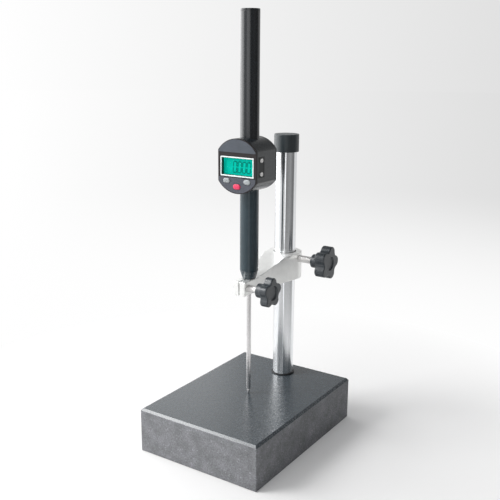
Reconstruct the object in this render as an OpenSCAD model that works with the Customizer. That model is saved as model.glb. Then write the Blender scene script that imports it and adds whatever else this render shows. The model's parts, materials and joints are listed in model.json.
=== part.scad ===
// Digital height gauge: a long-travel digital indicator held over a granite plate.
// Millimetres, +Z up, origin at the centre of the plate's underside.
// The display faces -Y, the column stands near the +Y edge, and the clamp knobs are on +X.

/* [Granite plate] */
// Width of the plate, left to right
base_width = 150; // [130:1:200]
// Depth of the plate, front to back
base_depth = 200; // [190:1:260]
// Thickness of the plate
base_height = 50; // [40:1:70]
// Chamfer on the plate's top edges
base_chamfer = 2.5; // [1:0.5:5]
// Diameter of the recess for the column bolt, in the underside
recess_dia = 32; // [30:1:40]
// Depth of the recess for the column bolt
recess_depth = 16; // [15.5:0.5:22]

/* [Column] */
// Diameter of the column
column_dia = 24; // [20:1:30]
// Length of the column
column_length = 281; // [240:1:330]
// Distance from the plate's back edge to the column's axis
column_setback = 27.5; // [24:0.5:36]
// Outside diameter of the ring that the column stands on
seat_ring_dia = 27; // [25:0.5:36]
// Thickness of the ring that the column stands on
seat_ring_thickness = 1; // [1:0.25:3]
// Diameter of the bolt that holds the column down
bolt_dia = 12; // [8:1:14]
// Diameter of the bolt's head
bolt_head_dia = 18; // [16:1:22]
// Height of the bolt's head
bolt_head_height = 12; // [8:0.5:12.5]
// Size across the flats of the bolt's hexagon socket
bolt_socket = 10; // [6:1:12]
// Depth of the bolt's hexagon socket
bolt_socket_depth = 6; // [3:0.5:7]
// Length of bolt thread inside the column
bolt_grip = 25; // [15:1:35]
// Outside diameter of the bolt's washer
washer_dia = 28; // [24:1:29.5]
// Thickness of the bolt's washer
washer_thickness = 2.5; // [1.5:0.25:3]
// Outside diameter of the column's cap
cap_dia = 28; // [27:0.5:36]
// Height of the column's cap
cap_height = 19.5; // [14:0.5:30]
// Thickness of the cap's top
cap_roof = 3; // [2:0.5:5]
// Chamfer on the cap's top edge
cap_chamfer = 0.8; // [0.4:0.1:1.5]

/* [Arm] */
// Distance from the column's axis to the indicator's axis
arm_reach = 74.5; // [62:0.5:90]
// Height of the arm's underside over the plate
arm_height = 120; // [105:1:150]
// Width of the split ear that clamps the indicator's stem
ear_width = 15; // [13:0.5:22]
// Height of the split ear
ear_height = 15.5; // [14:0.5:22]
// Length of the ear ahead of the stem's axis
ear_front = 19.5; // [18.5:0.5:28]
// Length of the ear's level top behind the stem's axis
ear_back = 7; // [6:0.5:12]
// Width of the slit in the ear
slit_width = 1.25; // [1:0.25:3]
// Diameter of the boss round the column
boss_dia = 39; // [37:0.5:50]
// Height of the boss round the column
boss_height = 30.5; // [26:0.5:44]
// Distance from the column's axis to the top of the arm's slope
slope_end = 21; // [19:0.5:30]
// Wall of the sleeve between the column and the arm
sleeve_wall = 1; // [0.8:0.1:1.6]
// Width of the slit in the sleeve
sleeve_slit = 2; // [1:0.25:4]

/* [Clamp screws] */
// Diameter of the clamp studs
stud_dia = 8; // [6:0.5:8.5]
// Distance from the stem's axis forward to the front stud
front_stud_lead = 11.5; // [11:0.25:13]
// Distance of the rear stud's axis below the top of the boss
rear_stud_drop = 6.5; // [5.5:0.25:14]
// Length of bare stud between the ear and the front knob
front_stud_show = 12.2; // [6:0.2:20]
// Length of bare stud between the boss and the rear knob
rear_stud_show = 18; // [6:0.5:22]
// Depth of the stud's hole in a knob
knob_bore_depth = 12; // [8:0.5:12.5]
// Diameter of the pressure pad at the rear stud's tip
pad_dia = 6.4; // [4:0.2:7.6]
// Length of the pressure pad
pad_length = 3; // [2:0.25:4]
// Diameter over the front knob's lobes
front_knob_dia = 32.5; // [30:0.5:40]
// Diameter over the rear knob's lobes
rear_knob_dia = 38; // [34:0.5:46]
// Diameter of one lobe of the front knob
front_lobe_dia = 11; // [9:0.5:12]
// Diameter of one lobe of the rear knob
rear_lobe_dia = 13; // [10:0.5:14]
// Diameter of the round valleys between the lobes
valley_dia = 11; // [8:0.5:14]
// Thickness of the front knob's lobes
front_knob_thickness = 9.5; // [8:0.5:14]
// Thickness of the rear knob's lobes
rear_knob_thickness = 12; // [9:0.5:16]
// Number of lobes
lobe_count = 5; // [5:1:7]
// Diameter of the knobs' hubs
hub_dia = 15.5; // [12:0.5:18]
// Length of the front knob's hub
front_hub_length = 9.5; // [7:0.5:14]
// Length of the rear knob's hub
rear_hub_length = 10.5; // [7:0.5:14]
// Diameter of the hollow in a knob's outer face
knob_hollow_dia = 16; // [10:0.5:17]
// Depth of the hollow in a knob's outer face
knob_hollow_depth = 1.5; // [0.5:0.25:2]

/* [Indicator tubes] */
// Outside diameter of the two tubes
tube_dia = 20; // [19:0.25:22]
// Bore of the two tubes
tube_bore = 16; // [15.5:0.25:16.5]
// Length of the lower tube
lower_tube_length = 95.2; // [85:0.2:120]
// Length of the upper tube
upper_tube_length = 134; // [130:1:170]
// Length of tube held in the head
tube_grip = 9; // [7:0.25:9.5]
// Length of the nose cone below the lower tube
nose_length = 9; // [6:0.5:16]
// Diameter of the nose cone's lower end
nose_dia = 14.5; // [12:0.5:18]
// Length of the nose cone's spigot in the lower tube
nose_spigot = 8; // [5:0.5:8.5]
// Thickness of the top plug's rim
plug_rim = 2; // [1.5:0.25:4]
// Length of the top plug's spigot
plug_spigot = 6; // [4:0.5:10]
// Width of the keyway in the upper tube
keyway_width = 2.5; // [2:0.1:3]
// Depth of the keyway in the upper tube
keyway_depth = 1; // [0.8:0.1:1.2]

/* [Spindle] */
// Diameter of the stem that the arm clamps
stem_dia = 8; // [7.5:0.25:9]
// Distance of the stem's lower end above the arm's underside
stem_recess = 1; // [0.5:0.25:3]
// Diameter of the spindle
spindle_dia = 5; // [4:0.25:5]
// Measuring travel of the spindle
travel = 100; // [50:1:100]
// Outside diameter of the stem's bush
bush_dia = 6.4; // [6:0.1:6.8]
// Length of the stem's bush
bush_length = 10; // [6:0.5:14]
// Diameter of the contact point
contact_dia = 3; // [2.4:0.1:3.8]
// Length of the contact point below the spindle
contact_length = 5.5; // [4:0.25:12]
// Diameter of the contact point's threaded end
contact_thread_dia = 2.2; // [1.6:0.1:2.3]
// Length of the contact point's threaded end
contact_thread_length = 5; // [3:0.5:10]
// Gap between the contact point and the plate at rest
contact_gap = 0.2; // [0.1:0.1:0.5]
// Thickness of the rubber bump ring
bump_thickness = 1.5; // [1:0.25:2]
// Diameter of the stop collar and the bump ring
collar_dia = 11; // [9:0.5:12]
// Height of the stop collar
collar_height = 5; // [3:0.5:8]
// Width of the scale strip
strip_width = 7; // [5:0.5:8]
// Thickness of the scale strip
strip_thickness = 1; // [0.6:0.1:1.2]
// Length of the carriage on the spindle's upper end
carriage_length = 14; // [11:0.5:16]
// Height of the carriage above the upper tube's lower end
carriage_rise = 9; // [6:0.5:11]
// Diameter of the guide pin
guide_pin_dia = 2.4; // [1.6:0.1:2.4]
// Outside diameter of the return spring
spring_dia = 4; // [3.4:0.1:4.2]
// Wire diameter of the return spring
spring_wire = 0.5; // [0.3:0.05:0.6]
// Number of turns in the return spring
spring_turns = 20; // [12:1:24]

/* [Head] */
// Diameter of the head
head_dia = 57; // [55:0.5:66]
// Width of the head over its two flat sides
head_width = 47.2; // [46:0.2:52]
// Distance from the indicator's axis forward to the face
face_lead = 23.6; // [23.2:0.2:30]
// Distance from the indicator's axis to the head's back
back_lag = 15.6; // [15.2:0.2:20]
// Thickness of the head case's wall
case_wall = 2.2; // [2:0.1:2.4]
// Thickness of the face panel
face_thickness = 2; // [1.5:0.25:2.5]
// Thickness of the back cover
back_thickness = 2; // [1.6:0.2:2.4]
// Diameter of the collars that hold the tubes in the head
tube_collar_dia = 25; // [23.5:0.25:25]
// Diameter of the screw posts in the head
post_dia = 6; // [5:0.25:6.5]
// Height of the screw posts' axes from the head's centre
post_height = 14; // [13.5:0.25:15]
// Thread diameter of the head's small screws
screw_dia = 2.2; // [1.6:0.1:2.5]
// Length of the head's small screws in their posts
screw_grip = 6; // [4:0.5:9]
// Head diameter of the small screws
screw_head_dia = 4.2; // [3.4:0.1:4.4]
// Head height of the small screws
screw_head_height = 1.2; // [0.8:0.1:1.4]
// Thickness of the main board
board_thickness = 1.6; // [1:0.1:2]
// Width of the reading head
reader_width = 10; // [8:0.5:14]
// Height of the reading head
reader_height = 20; // [14:0.5:20]
// Gap between the reading head and the scale strip
reader_gap = 0.35; // [0.3:0.05:0.6]

/* [Display] */
// Width of the display's frame
display_width = 41; // [36:0.5:41.5]
// Height of the display's frame
display_height = 20.5; // [17:0.5:20.5]
// Height of the display's centre over the head's centre
display_rise = -0.5; // [-1:0.25:0.5]
// Width of the frame's border
frame_border = 1.3; // [1:0.1:2]
// Depth of the frame
frame_depth = 4; // [3.5:0.1:4.5]
// Distance that the frame stands out of the face
frame_proud = 0.2; // [0.1:0.1:0.5]
// Thickness of the clear window
window_thickness = 1; // [0.8:0.1:1.5]
// Depth of the window behind the face
window_recess = 0.5; // [0.2:0.1:1]
// Thickness of the display panel
panel_thickness = 2.4; // [1.6:0.1:2.6]

/* [Buttons] */
// Width of the left and right buttons
button_width = 8.5; // [7:0.25:9]
// Height of the left and right buttons
button_height = 5.2; // [4:0.2:5.6]
// Distance of the left and right buttons from the head's centre line
button_side = 12.7; // [12.2:0.1:13]
// Distance of the left and right buttons below the head's centre
button_drop = 15.2; // [15:0.1:15.6]
// Width of the red button
red_width = 9; // [7:0.25:9.5]
// Height of the red button
red_height = 5.4; // [4:0.2:5.6]
// Distance of the red button below the head's centre
red_drop = 21; // [20.8:0.1:21.2]
// Distance that the buttons stand out of the face
button_proud = 1.3; // [1:0.1:2]
// Travel of the buttons
button_travel = 0.8; // [0.4:0.1:1]
// Thickness of the flange behind each button
flange_thickness = 1; // [0.6:0.1:1.2]
// Width of the flange round each button
flange_rim = 0.6; // [0.4:0.1:0.8]
// Thickness of the button pad
pad_sheet = 1.5; // [1:0.1:2]
// Diameter of the button pad's domes
dome_dia = 4; // [3:0.2:4.6]

/* [Data port and cell] */
// Depth of the port's recess, front to back
port_length = 11; // [8:0.5:12]
// Height of the port's recess
port_height = 21; // [19:0.5:24]
// Distance of the port's centre behind the face
port_lag = 9.6; // [9:0.2:11]
// Depth of the port's recess into the case
port_recess = 1; // [0.8:0.1:1.1]
// Thickness of the port's cover
port_cover_thickness = 0.7; // [0.5:0.1:0.8]
// Height of each port screw from the port's centre
port_screw_height = 7; // [6.4:0.2:7]
// Head diameter of the port screws
port_screw_dia = 4.5; // [3.6:0.1:4.8]
// Length of the data socket
socket_height = 12; // [8:0.5:14]
// Diameter of the coin cell
cell_dia = 20; // [16:1:20]
// Thickness of the coin cell
cell_thickness = 3.2; // [2:0.1:3.2]
// Diameter of the battery door
door_dia = 24; // [23:0.5:25]
// Outside diameter of the cell's holder
holder_dia = 27; // [26:0.5:28]
// Length of the coin slot in the battery door
coin_slot_length = 12; // [8:0.5:14]
// Width of the coin slot in the battery door
coin_slot_width = 1.8; // [1.2:0.1:2.4]

/* [Fits] */
// Radial clearance of a shaft in its bore
run_clearance = 0.05; // [0.02:0.01:0.08]
// Clearance of a piece that is fixed in its seat
seat_clearance = 0.05; // [0.02:0.01:0.08]
// Gap between pieces that move past each other
moving_gap = 0.3; // [0.25:0.05:0.35]

/* [Hidden] */
$fn = 96;
overcut = 1;
// Room round the bolt in the plate, the washer and the ring
bolt_room = 1;
// Distance of the scale strip from the spindle
strip_standoff = 0.45;
// Length of scale strip in the carriage's slot
strip_slot_depth = 4;
// Length of scale strip past the reading head at full travel
strip_spare = 0.5;
// Distance of the reading head below the upper tube
reader_margin = 2;
// Depth of the screw posts in the case's wall
post_overlap = 0.6;
// Distance of the front stud's end inside the ear
thread_end = 0.5;
// Distance of the coin cell in front of the back cover
cell_margin = 1;
// Thickness of the cell holder's floor
holder_floor = 0.8;
// Width and depth of the data socket
socket_size = 4;
// Turn of each knob about its stud
front_knob_turn = 32;
rear_knob_turn = 19;

// Stand levels
plate_top = base_height;
column_y = base_depth / 2 - column_setback;
column_foot = plate_top + seat_ring_thickness;
column_top = column_foot + column_length;
cap_top = column_top + seat_clearance + cap_roof;
cap_foot = cap_top - cap_height;
washer_foot = recess_depth - washer_thickness;
bolt_foot = washer_foot - bolt_head_height;
bolt_tip = column_foot + bolt_grip;
bolt_hole_dia = bolt_dia + bolt_room;

// Arm levels
stem_y = column_y - arm_reach;
arm_foot = plate_top + arm_height;
ear_top = arm_foot + ear_height;
boss_top = arm_foot + boss_height;
ear_front_y = stem_y - ear_front;
ear_back_y = stem_y + ear_back;
sleeve_r = column_dia / 2 + run_clearance + sleeve_wall;
column_bore_r = sleeve_r + run_clearance;
front_stud_y = stem_y - front_stud_lead;
front_stud_z = arm_foot + ear_height / 2;
rear_stud_z = boss_top - rear_stud_drop;
front_knob_x = ear_width / 2 + front_stud_show;
rear_knob_x = boss_dia / 2 + rear_stud_show;
pad_tip_x = sleeve_r + moving_gap;
rear_stud_tip_x = pad_tip_x + pad_length + seat_clearance;

// Indicator levels
nose_foot = ear_top + moving_gap;
nose_top = nose_foot + nose_length;
spigot_top = nose_top + nose_spigot;
stem_foot = arm_foot + stem_recess;
lower_tube_top = nose_top + seat_clearance + lower_tube_length;
head_r = head_dia / 2;
tube_end = head_r - tube_grip;
head_z = lower_tube_top + tube_end;
upper_tube_foot = head_z + tube_end;
upper_tube_top = upper_tube_foot + upper_tube_length;

// Spindle levels
contact_tip = plate_top + contact_gap;
spindle_foot = contact_tip + contact_length;
bump_foot = spigot_top + seat_clearance;
collar_foot = bump_foot + bump_thickness + moving_gap;
carriage_foot = upper_tube_foot + carriage_rise;
carriage_top = carriage_foot + carriage_length;
strip_back = spindle_dia / 2 + strip_standoff;
reader_top = upper_tube_foot - reader_margin;
reader_foot = reader_top - reader_height;
strip_foot = reader_foot - travel - strip_spare;
strip_top = carriage_foot + strip_slot_depth;
guide_pin_z = carriage_foot + carriage_length / 2;
guide_pin_root = spindle_dia / 2 + seat_clearance;
guide_pin_end = tube_bore / 2 + keyway_depth - moving_gap;
spring_y = strip_back + moving_gap + spring_dia / 2;
spring_foot = spigot_top + seat_clearance;
spring_top = carriage_foot - moving_gap;

// Head depths, measured from the indicator's axis along +Y
face_y = -face_lead;
case_front = face_y + face_thickness;
case_back = back_lag - back_thickness;
reader_front = -strip_back - strip_thickness - reader_gap;
board_back = -tube_collar_dia / 2 - seat_clearance;
board_front = board_back - board_thickness;
post_x = head_width / 2 - case_wall - post_dia / 2 + post_overlap;
post_front = board_back + seat_clearance;
frame_front = face_y - frame_proud;
frame_back = frame_front + frame_depth;
panel_front = frame_back + seat_clearance;
panel_back = panel_front + panel_thickness;
window_front = face_y + window_recess;
button_front = face_y - button_proud;
flange_front = case_front + moving_gap;
flange_back = flange_front + flange_thickness;
dome_front = flange_back + button_travel + moving_gap;
port_y = face_y + port_lag;
port_floor = head_width / 2 - port_recess;
cell_back = case_back - cell_margin;
cell_front = cell_back - cell_thickness;
holder_front = cell_front - seat_clearance - holder_floor;

granite_colour = [0.33, 0.34, 0.36];
chrome_colour = [0.82, 0.83, 0.85];
steel_colour = [0.66, 0.67, 0.69];
silver_colour = [0.78, 0.79, 0.79];
black_colour = [0.09, 0.1, 0.11];
case_colour = [0.14, 0.15, 0.16];
face_colour = [0.24, 0.25, 0.27];
white_colour = [0.9, 0.93, 0.93];
display_colour = [0.02, 0.72, 0.6];
grey_colour = [0.76, 0.78, 0.8];
red_colour = [0.84, 0.12, 0.22];
brass_colour = [0.75, 0.6, 0.32];
board_colour = [0.1, 0.36, 0.2];
nylon_colour = [0.2, 0.2, 0.21];

// Frames and shapes that several pieces share

module at_column() {
    translate([0, column_y, 0])
        children();
}

module at_stem() {
    translate([0, stem_y, 0])
        children();
}

module at_head() {
    translate([0, stem_y, head_z])
        children();
}

// Round bar along +Z between two levels
module post_z(r, z0, z1) {
    translate([0, 0, z0])
        cylinder(r = r, h = z1 - z0);
}

// Round bar along +X between two places
module bar_x(r, x0, x1) {
    translate([x0, 0, 0])
        rotate([0, 90, 0])
            cylinder(r = r, h = x1 - x0);
}

// Round bar along +Y between two places
module bar_y(r, y0, y1) {
    translate([0, y0, 0])
        rotate([-90, 0, 0])
            cylinder(r = r, h = y1 - y0);
}

// Block centred on X and Z between two depths
module block_y(w, h, y0, y1) {
    translate([-w / 2, y0, -h / 2])
        cube([w, y1 - y0, h]);
}

// Round outline with two flat sides, as seen from the front
module head_outline(inset) {
    intersection() {
        circle(r = head_r - inset);
        square([head_width - 2 * inset, head_dia], center = true);
    }
}

module head_slab(inset, y0, y1) {
    translate([0, y0, 0])
        rotate([-90, 0, 0])
            linear_extrude(y1 - y0)
                head_outline(inset);
}

// Oval with round ends, extruded between two depths
module oval_y(w, h, y0, y1) {
    translate([0, y0, 0])
        rotate([-90, 0, 0])
            linear_extrude(y1 - y0)
                union() {
                    square([w - h, h], center = true);
                    for (side = [-1, 1])
                        translate([side * (w - h) / 2, 0])
                            circle(d = h);
                }
}

module at_posts() {
    for (side = [-1, 1], level = [-1, 1])
        translate([side * post_x, 0, level * post_height])
            children();
}

module at_port_screws() {
    for (level = [-1, 1])
        translate([0, port_y, level * port_screw_height])
            children();
}

// Stand

module plate_profile(w) {
    polygon([
        [-w / 2, 0],
        [w / 2, 0],
        [w / 2, base_height - base_chamfer],
        [w / 2 - base_chamfer, base_height],
        [-w / 2 + base_chamfer, base_height],
        [-w / 2, base_height - base_chamfer]
    ]);
}

module granite_base() {
    color(granite_colour)
        difference() {
            intersection() {
                translate([0, base_depth / 2, 0])
                    rotate([90, 0, 0])
                        linear_extrude(base_depth)
                            plate_profile(base_width);
                translate([-base_width / 2, 0, 0])
                    rotate([90, 0, 90])
                        linear_extrude(base_width)
                            plate_profile(base_depth);
            }
            at_column() {
                post_z(recess_dia / 2, -overcut, recess_depth);
                post_z(bolt_hole_dia / 2, 0, base_height + overcut);
            }
        }
}

module column_bolt() {
    color(steel_colour)
        at_column()
            difference() {
                union() {
                    post_z(bolt_head_dia / 2, bolt_foot, washer_foot);
                    post_z(bolt_dia / 2, washer_foot - overcut, bolt_tip);
                }
                translate([0, 0, bolt_foot - overcut])
                    cylinder(d = bolt_socket / cos(30), h = bolt_socket_depth + overcut, $fn = 6);
            }
}

module bolt_washer() {
    color(steel_colour)
        at_column()
            difference() {
                post_z(washer_dia / 2, washer_foot, recess_depth);
                post_z(bolt_hole_dia / 2, washer_foot - overcut, recess_depth + overcut);
            }
}

module seat_ring() {
    color(black_colour)
        at_column()
            difference() {
                post_z(seat_ring_dia / 2, plate_top, column_foot);
                post_z(bolt_hole_dia / 2, plate_top - overcut, column_foot + overcut);
            }
}

module column() {
    color(chrome_colour)
        at_column()
            difference() {
                post_z(column_dia / 2, column_foot, column_top);
                post_z(bolt_dia / 2 + seat_clearance, column_foot - overcut, bolt_tip + overcut);
            }
}

module column_cap() {
    r = cap_dia / 2;
    color(black_colour)
        at_column()
            difference() {
                rotate_extrude()
                    polygon([
                        [0, cap_foot],
                        [r, cap_foot],
                        [r, cap_top - cap_chamfer],
                        [r - cap_chamfer, cap_top],
                        [0, cap_top]
                    ]);
                post_z(column_dia / 2 + seat_clearance, cap_foot - overcut, cap_top - cap_roof);
            }
}

// Arm and its sleeve

module column_sleeve() {
    color(nylon_colour)
        at_column()
            difference() {
                post_z(sleeve_r, arm_foot, boss_top);
                post_z(column_dia / 2 + run_clearance, arm_foot - overcut, boss_top + overcut);
                translate([-sleeve_slit / 2, 0, arm_foot - overcut])
                    cube([sleeve_slit, column_dia, boss_height + 2 * overcut]);
            }
}

// Point where the arm's side, from the ear's back corner, touches the boss
function tangent_point(corner, centre, r) =
    let (d = centre - corner, reach = norm(d), turn = atan2(d.y, d.x) - asin(r / reach))
    corner + sqrt(reach * reach - r * r) * [cos(turn), sin(turn)];

module arm_plan() {
    corner = [ear_width / 2, ear_back_y];
    touch = tangent_point(corner, [0, column_y], boss_dia / 2);
    translate([-ear_width / 2, ear_front_y])
        square([ear_width, ear_front + ear_back]);
    polygon([corner, touch, [-touch.x, touch.y], [-corner.x, corner.y]]);
    translate([0, column_y])
        circle(d = boss_dia);
}

module arm_side() {
    back = column_y + boss_dia;
    polygon([
        [ear_front_y, arm_foot],
        [back, arm_foot],
        [back, boss_top],
        [column_y - slope_end, boss_top],
        [ear_back_y, ear_top],
        [ear_front_y, ear_top]
    ]);
}

module arm() {
    color(silver_colour)
        difference() {
            intersection() {
                translate([0, 0, arm_foot])
                    linear_extrude(boss_height)
                        arm_plan();
                translate([-boss_dia, 0, 0])
                    rotate([90, 0, 90])
                        linear_extrude(2 * boss_dia)
                            arm_side();
            }
            at_column()
                post_z(column_bore_r, arm_foot - overcut, boss_top + overcut);
            at_stem()
                post_z(stem_dia / 2 + run_clearance, arm_foot - overcut, ear_top + overcut);
            translate([-slit_width / 2, ear_front_y - overcut, arm_foot - overcut])
                cube([slit_width, ear_front + overcut, ear_height + 2 * overcut]);
            translate([0, front_stud_y, front_stud_z])
                bar_x(stud_dia / 2 + run_clearance, -ear_width, ear_width);
            translate([0, column_y, rear_stud_z])
                bar_x(stud_dia / 2 + run_clearance, column_dia / 2, boss_dia);
        }
}

// Clamp screws

// Distance from a knob's axis to the middle of the valley that meets two lobes smoothly
function valley_reach(lobe_r, lobe_place) =
    let (along = lobe_place * cos(180 / lobe_count), span = lobe_r + valley_dia / 2)
    along + sqrt(along * along + span * span - lobe_place * lobe_place);

// Lobes and valleys that run into each other, with one lobe at an angle
module knob_outline(dia, lobe, turn) {
    lobe_place = (dia - lobe) / 2;
    valley_place = valley_reach(lobe / 2, lobe_place);
    half_turn = 180 / lobe_count;
    share = lobe / (lobe + valley_dia);
    meeting = (1 - share) * [lobe_place, 0] + share * valley_place * [cos(half_turn), sin(half_turn)];
    difference() {
        union() {
            circle(r = norm(meeting));
            for (i = [0 : lobe_count - 1])
                rotate(turn + 2 * i * half_turn)
                    translate([lobe_place, 0])
                        circle(d = lobe);
        }
        for (i = [0 : lobe_count - 1])
            rotate(turn + (2 * i + 1) * half_turn)
                translate([valley_place, 0])
                    circle(d = valley_dia);
    }
}

// Star knob along +X, with its hub's face at X = 0
module star_knob(dia, lobe, thickness, hub_length, turn) {
    knob_face = hub_length + thickness;
    difference() {
        union() {
            bar_x(hub_dia / 2, 0, hub_length + overcut);
            translate([hub_length, 0, 0])
                rotate([0, 90, 0])
                    linear_extrude(thickness)
                        knob_outline(dia, lobe, turn);
        }
        bar_x(stud_dia / 2 + run_clearance, -overcut, knob_bore_depth + seat_clearance);
        bar_x(knob_hollow_dia / 2, knob_face - knob_hollow_depth, knob_face + overcut);
    }
}

module front_stud() {
    color(silver_colour)
        translate([0, front_stud_y, front_stud_z])
            bar_x(stud_dia / 2, thread_end - ear_width / 2, front_knob_x + knob_bore_depth);
}

module front_knob() {
    color(black_colour)
        translate([front_knob_x, front_stud_y, front_stud_z])
            star_knob(
                front_knob_dia,
                front_lobe_dia,
                front_knob_thickness,
                front_hub_length,
                front_knob_turn
            );
}

module rear_stud() {
    color(silver_colour)
        translate([0, column_y, rear_stud_z])
            bar_x(stud_dia / 2, rear_stud_tip_x, rear_knob_x + knob_bore_depth);
}

module rear_pad() {
    color(brass_colour)
        translate([0, column_y, rear_stud_z])
            bar_x(pad_dia / 2, pad_tip_x, pad_tip_x + pad_length);
}

module rear_knob() {
    color(black_colour)
        translate([rear_knob_x, column_y, rear_stud_z])
            star_knob(
                rear_knob_dia,
                rear_lobe_dia,
                rear_knob_thickness,
                rear_hub_length,
                rear_knob_turn
            );
}

// Indicator tubes and stem

module stem() {
    color(steel_colour)
        at_stem()
            difference() {
                post_z(stem_dia / 2, stem_foot, spigot_top);
                post_z(bush_dia / 2 + seat_clearance, stem_foot - overcut, stem_foot + bush_length);
                post_z(spindle_dia / 2 + moving_gap, stem_foot, spigot_top + overcut);
            }
}

module stem_bush() {
    color(brass_colour)
        at_stem()
            difference() {
                post_z(bush_dia / 2, stem_foot, stem_foot + bush_length - seat_clearance);
                post_z(spindle_dia / 2 + run_clearance, stem_foot - overcut, stem_foot + bush_length);
            }
}

module nose_cone() {
    color(black_colour)
        at_stem()
            difference() {
                rotate_extrude()
                    polygon([
                        [0, nose_foot],
                        [nose_dia / 2, nose_foot],
                        [tube_dia / 2, nose_top],
                        [tube_bore / 2 - seat_clearance, nose_top],
                        [tube_bore / 2 - seat_clearance, spigot_top],
                        [0, spigot_top]
                    ]);
                post_z(stem_dia / 2 + seat_clearance, nose_foot - overcut, spigot_top + overcut);
            }
}

module lower_tube() {
    color(black_colour)
        at_stem()
            difference() {
                post_z(tube_dia / 2, nose_top + seat_clearance, lower_tube_top);
                post_z(tube_bore / 2, nose_top - overcut, lower_tube_top + overcut);
            }
}

module upper_tube() {
    color(black_colour)
        at_stem()
            difference() {
                post_z(tube_dia / 2, upper_tube_foot, upper_tube_top);
                post_z(tube_bore / 2, upper_tube_foot - overcut, upper_tube_top + overcut);
                translate([-keyway_width / 2, 0, upper_tube_foot - overcut])
                    cube([keyway_width, tube_bore / 2 + keyway_depth, upper_tube_length + 2 * overcut]);
            }
}

module tube_plug() {
    color(black_colour)
        at_stem() {
            post_z(tube_dia / 2, upper_tube_top + seat_clearance, upper_tube_top + plug_rim);
            post_z(
                tube_bore / 2 - seat_clearance,
                upper_tube_top - plug_spigot,
                upper_tube_top + plug_rim
            );
        }
}

// Ring round the spindle with a flat at the front and at the back
module flatted_ring(bore_r, z0, z1) {
    difference() {
        intersection() {
            post_z(collar_dia / 2, z0, z1);
            translate([-collar_dia / 2, seat_clearance - strip_back, z0])
                cube([collar_dia, 2 * (strip_back - seat_clearance), z1 - z0]);
        }
        post_z(bore_r, z0 - overcut, z1 + overcut);
    }
}

module bump_ring() {
    color(black_colour)
        at_stem()
            flatted_ring(spindle_dia / 2 + moving_gap, bump_foot, bump_foot + bump_thickness);
}

// Head

module head_case() {
    color(case_colour)
        at_head()
            difference() {
                union() {
                    difference() {
                        head_slab(0, case_front, case_back);
                        head_slab(case_wall, case_front - overcut, case_back + overcut);
                    }
                    intersection() {
                        head_slab(0, case_front, case_back);
                        for (side = [0, 1])
                            mirror([0, 0, side])
                                post_z(tube_collar_dia / 2, tube_end, head_r);
                    }
                    at_posts()
                        bar_y(post_dia / 2, post_front, case_back);
                }
                for (side = [0, 1])
                    mirror([0, 0, side])
                        post_z(tube_dia / 2 + seat_clearance, tube_end - overcut, head_r + overcut);
                at_posts() {
                    bar_y(screw_dia / 2 + seat_clearance, post_front - overcut, post_front + screw_grip);
                    bar_y(screw_dia / 2 + seat_clearance, case_back - screw_grip, case_back + overcut);
                }
                translate([port_floor, port_y - port_length / 2, -port_height / 2])
                    cube([port_recess + overcut, port_length, port_height]);
                at_port_screws()
                    bar_x(
                        screw_dia / 2 + seat_clearance,
                        head_width / 2 - 2 * case_wall,
                        head_width / 2
                    );
            }
}

module face_panel() {
    color(face_colour)
        at_head()
            difference() {
                head_slab(0, face_y, case_front - seat_clearance);
                translate([0, 0, display_rise])
                    block_y(
                        display_width + 2 * seat_clearance,
                        display_height + 2 * seat_clearance,
                        face_y - overcut,
                        case_front + overcut
                    );
                for (side = [-1, 1])
                    translate([side * button_side, 0, -button_drop])
                        button_slot(button_width, button_height);
                translate([0, 0, -red_drop])
                    button_slot(red_width, red_height);
            }
}

module button_slot(w, h) {
    oval_y(w + 2 * moving_gap, h + 2 * moving_gap, face_y - overcut, case_front + overcut);
}

module back_cover() {
    color(case_colour)
        at_head()
            difference() {
                head_slab(0, case_back + seat_clearance, back_lag);
                bar_y(door_dia / 2 + seat_clearance, case_back - overcut, back_lag + overcut);
                at_posts() {
                    bar_y(screw_dia / 2 + seat_clearance, case_back - overcut, back_lag + overcut);
                    bar_y(
                        screw_head_dia / 2 + seat_clearance,
                        back_lag - screw_head_height,
                        back_lag + overcut
                    );
                }
            }
}

// Small screw whose head's underside is at Y = 0, with its thread along +Y or -Y
module small_screw(grip, direction) {
    mirror([0, direction < 0 ? 1 : 0, 0]) {
        bar_y(screw_dia / 2, 0, grip);
        difference() {
            bar_y(screw_head_dia / 2, -screw_head_height, 0);
            bar_y(screw_dia / 2, -screw_head_height - overcut, -screw_head_height / 2, $fn = 6);
        }
    }
}

module back_screws() {
    seat = back_thickness - screw_head_height;
    color(steel_colour)
        at_head()
            at_posts()
                translate([0, back_lag - screw_head_height + seat_clearance, 0])
                    small_screw(seat + screw_grip - 2 * seat_clearance, -1);
}

module board_screws() {
    color(steel_colour)
        at_head()
            at_posts()
                translate([0, board_front - seat_clearance, 0])
                    small_screw(board_thickness + screw_grip - overcut, 1);
}

module display_frame() {
    color(white_colour)
        at_head()
            translate([0, 0, display_rise])
                difference() {
                    block_y(display_width, display_height, frame_front, frame_back);
                    block_y(
                        display_width - 2 * frame_border,
                        display_height - 2 * frame_border,
                        frame_front - overcut,
                        frame_back + overcut
                    );
                }
}

module display_window() {
    inset = frame_border + seat_clearance;
    color([0.8, 0.9, 0.9, 0.35])
        at_head()
            translate([0, 0, display_rise])
                block_y(
                    display_width - 2 * inset,
                    display_height - 2 * inset,
                    window_front,
                    window_front + window_thickness
                );
}

module display_panel() {
    color(display_colour)
        at_head()
            translate([0, 0, display_rise])
                block_y(display_width, display_height, panel_front, panel_back);
}

module backlight() {
    color(white_colour)
        at_head()
            translate([0, 0, display_rise])
                block_y(
                    display_width - 2 * frame_border,
                    display_height - 2 * frame_border,
                    panel_back + seat_clearance,
                    board_front - seat_clearance
                );
}

module main_board() {
    color(board_colour)
        at_head()
            difference() {
                head_slab(case_wall + moving_gap, board_front, board_back);
                at_posts()
                    bar_y(screw_dia / 2 + seat_clearance, board_front - overcut, board_back + overcut);
            }
}

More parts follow.
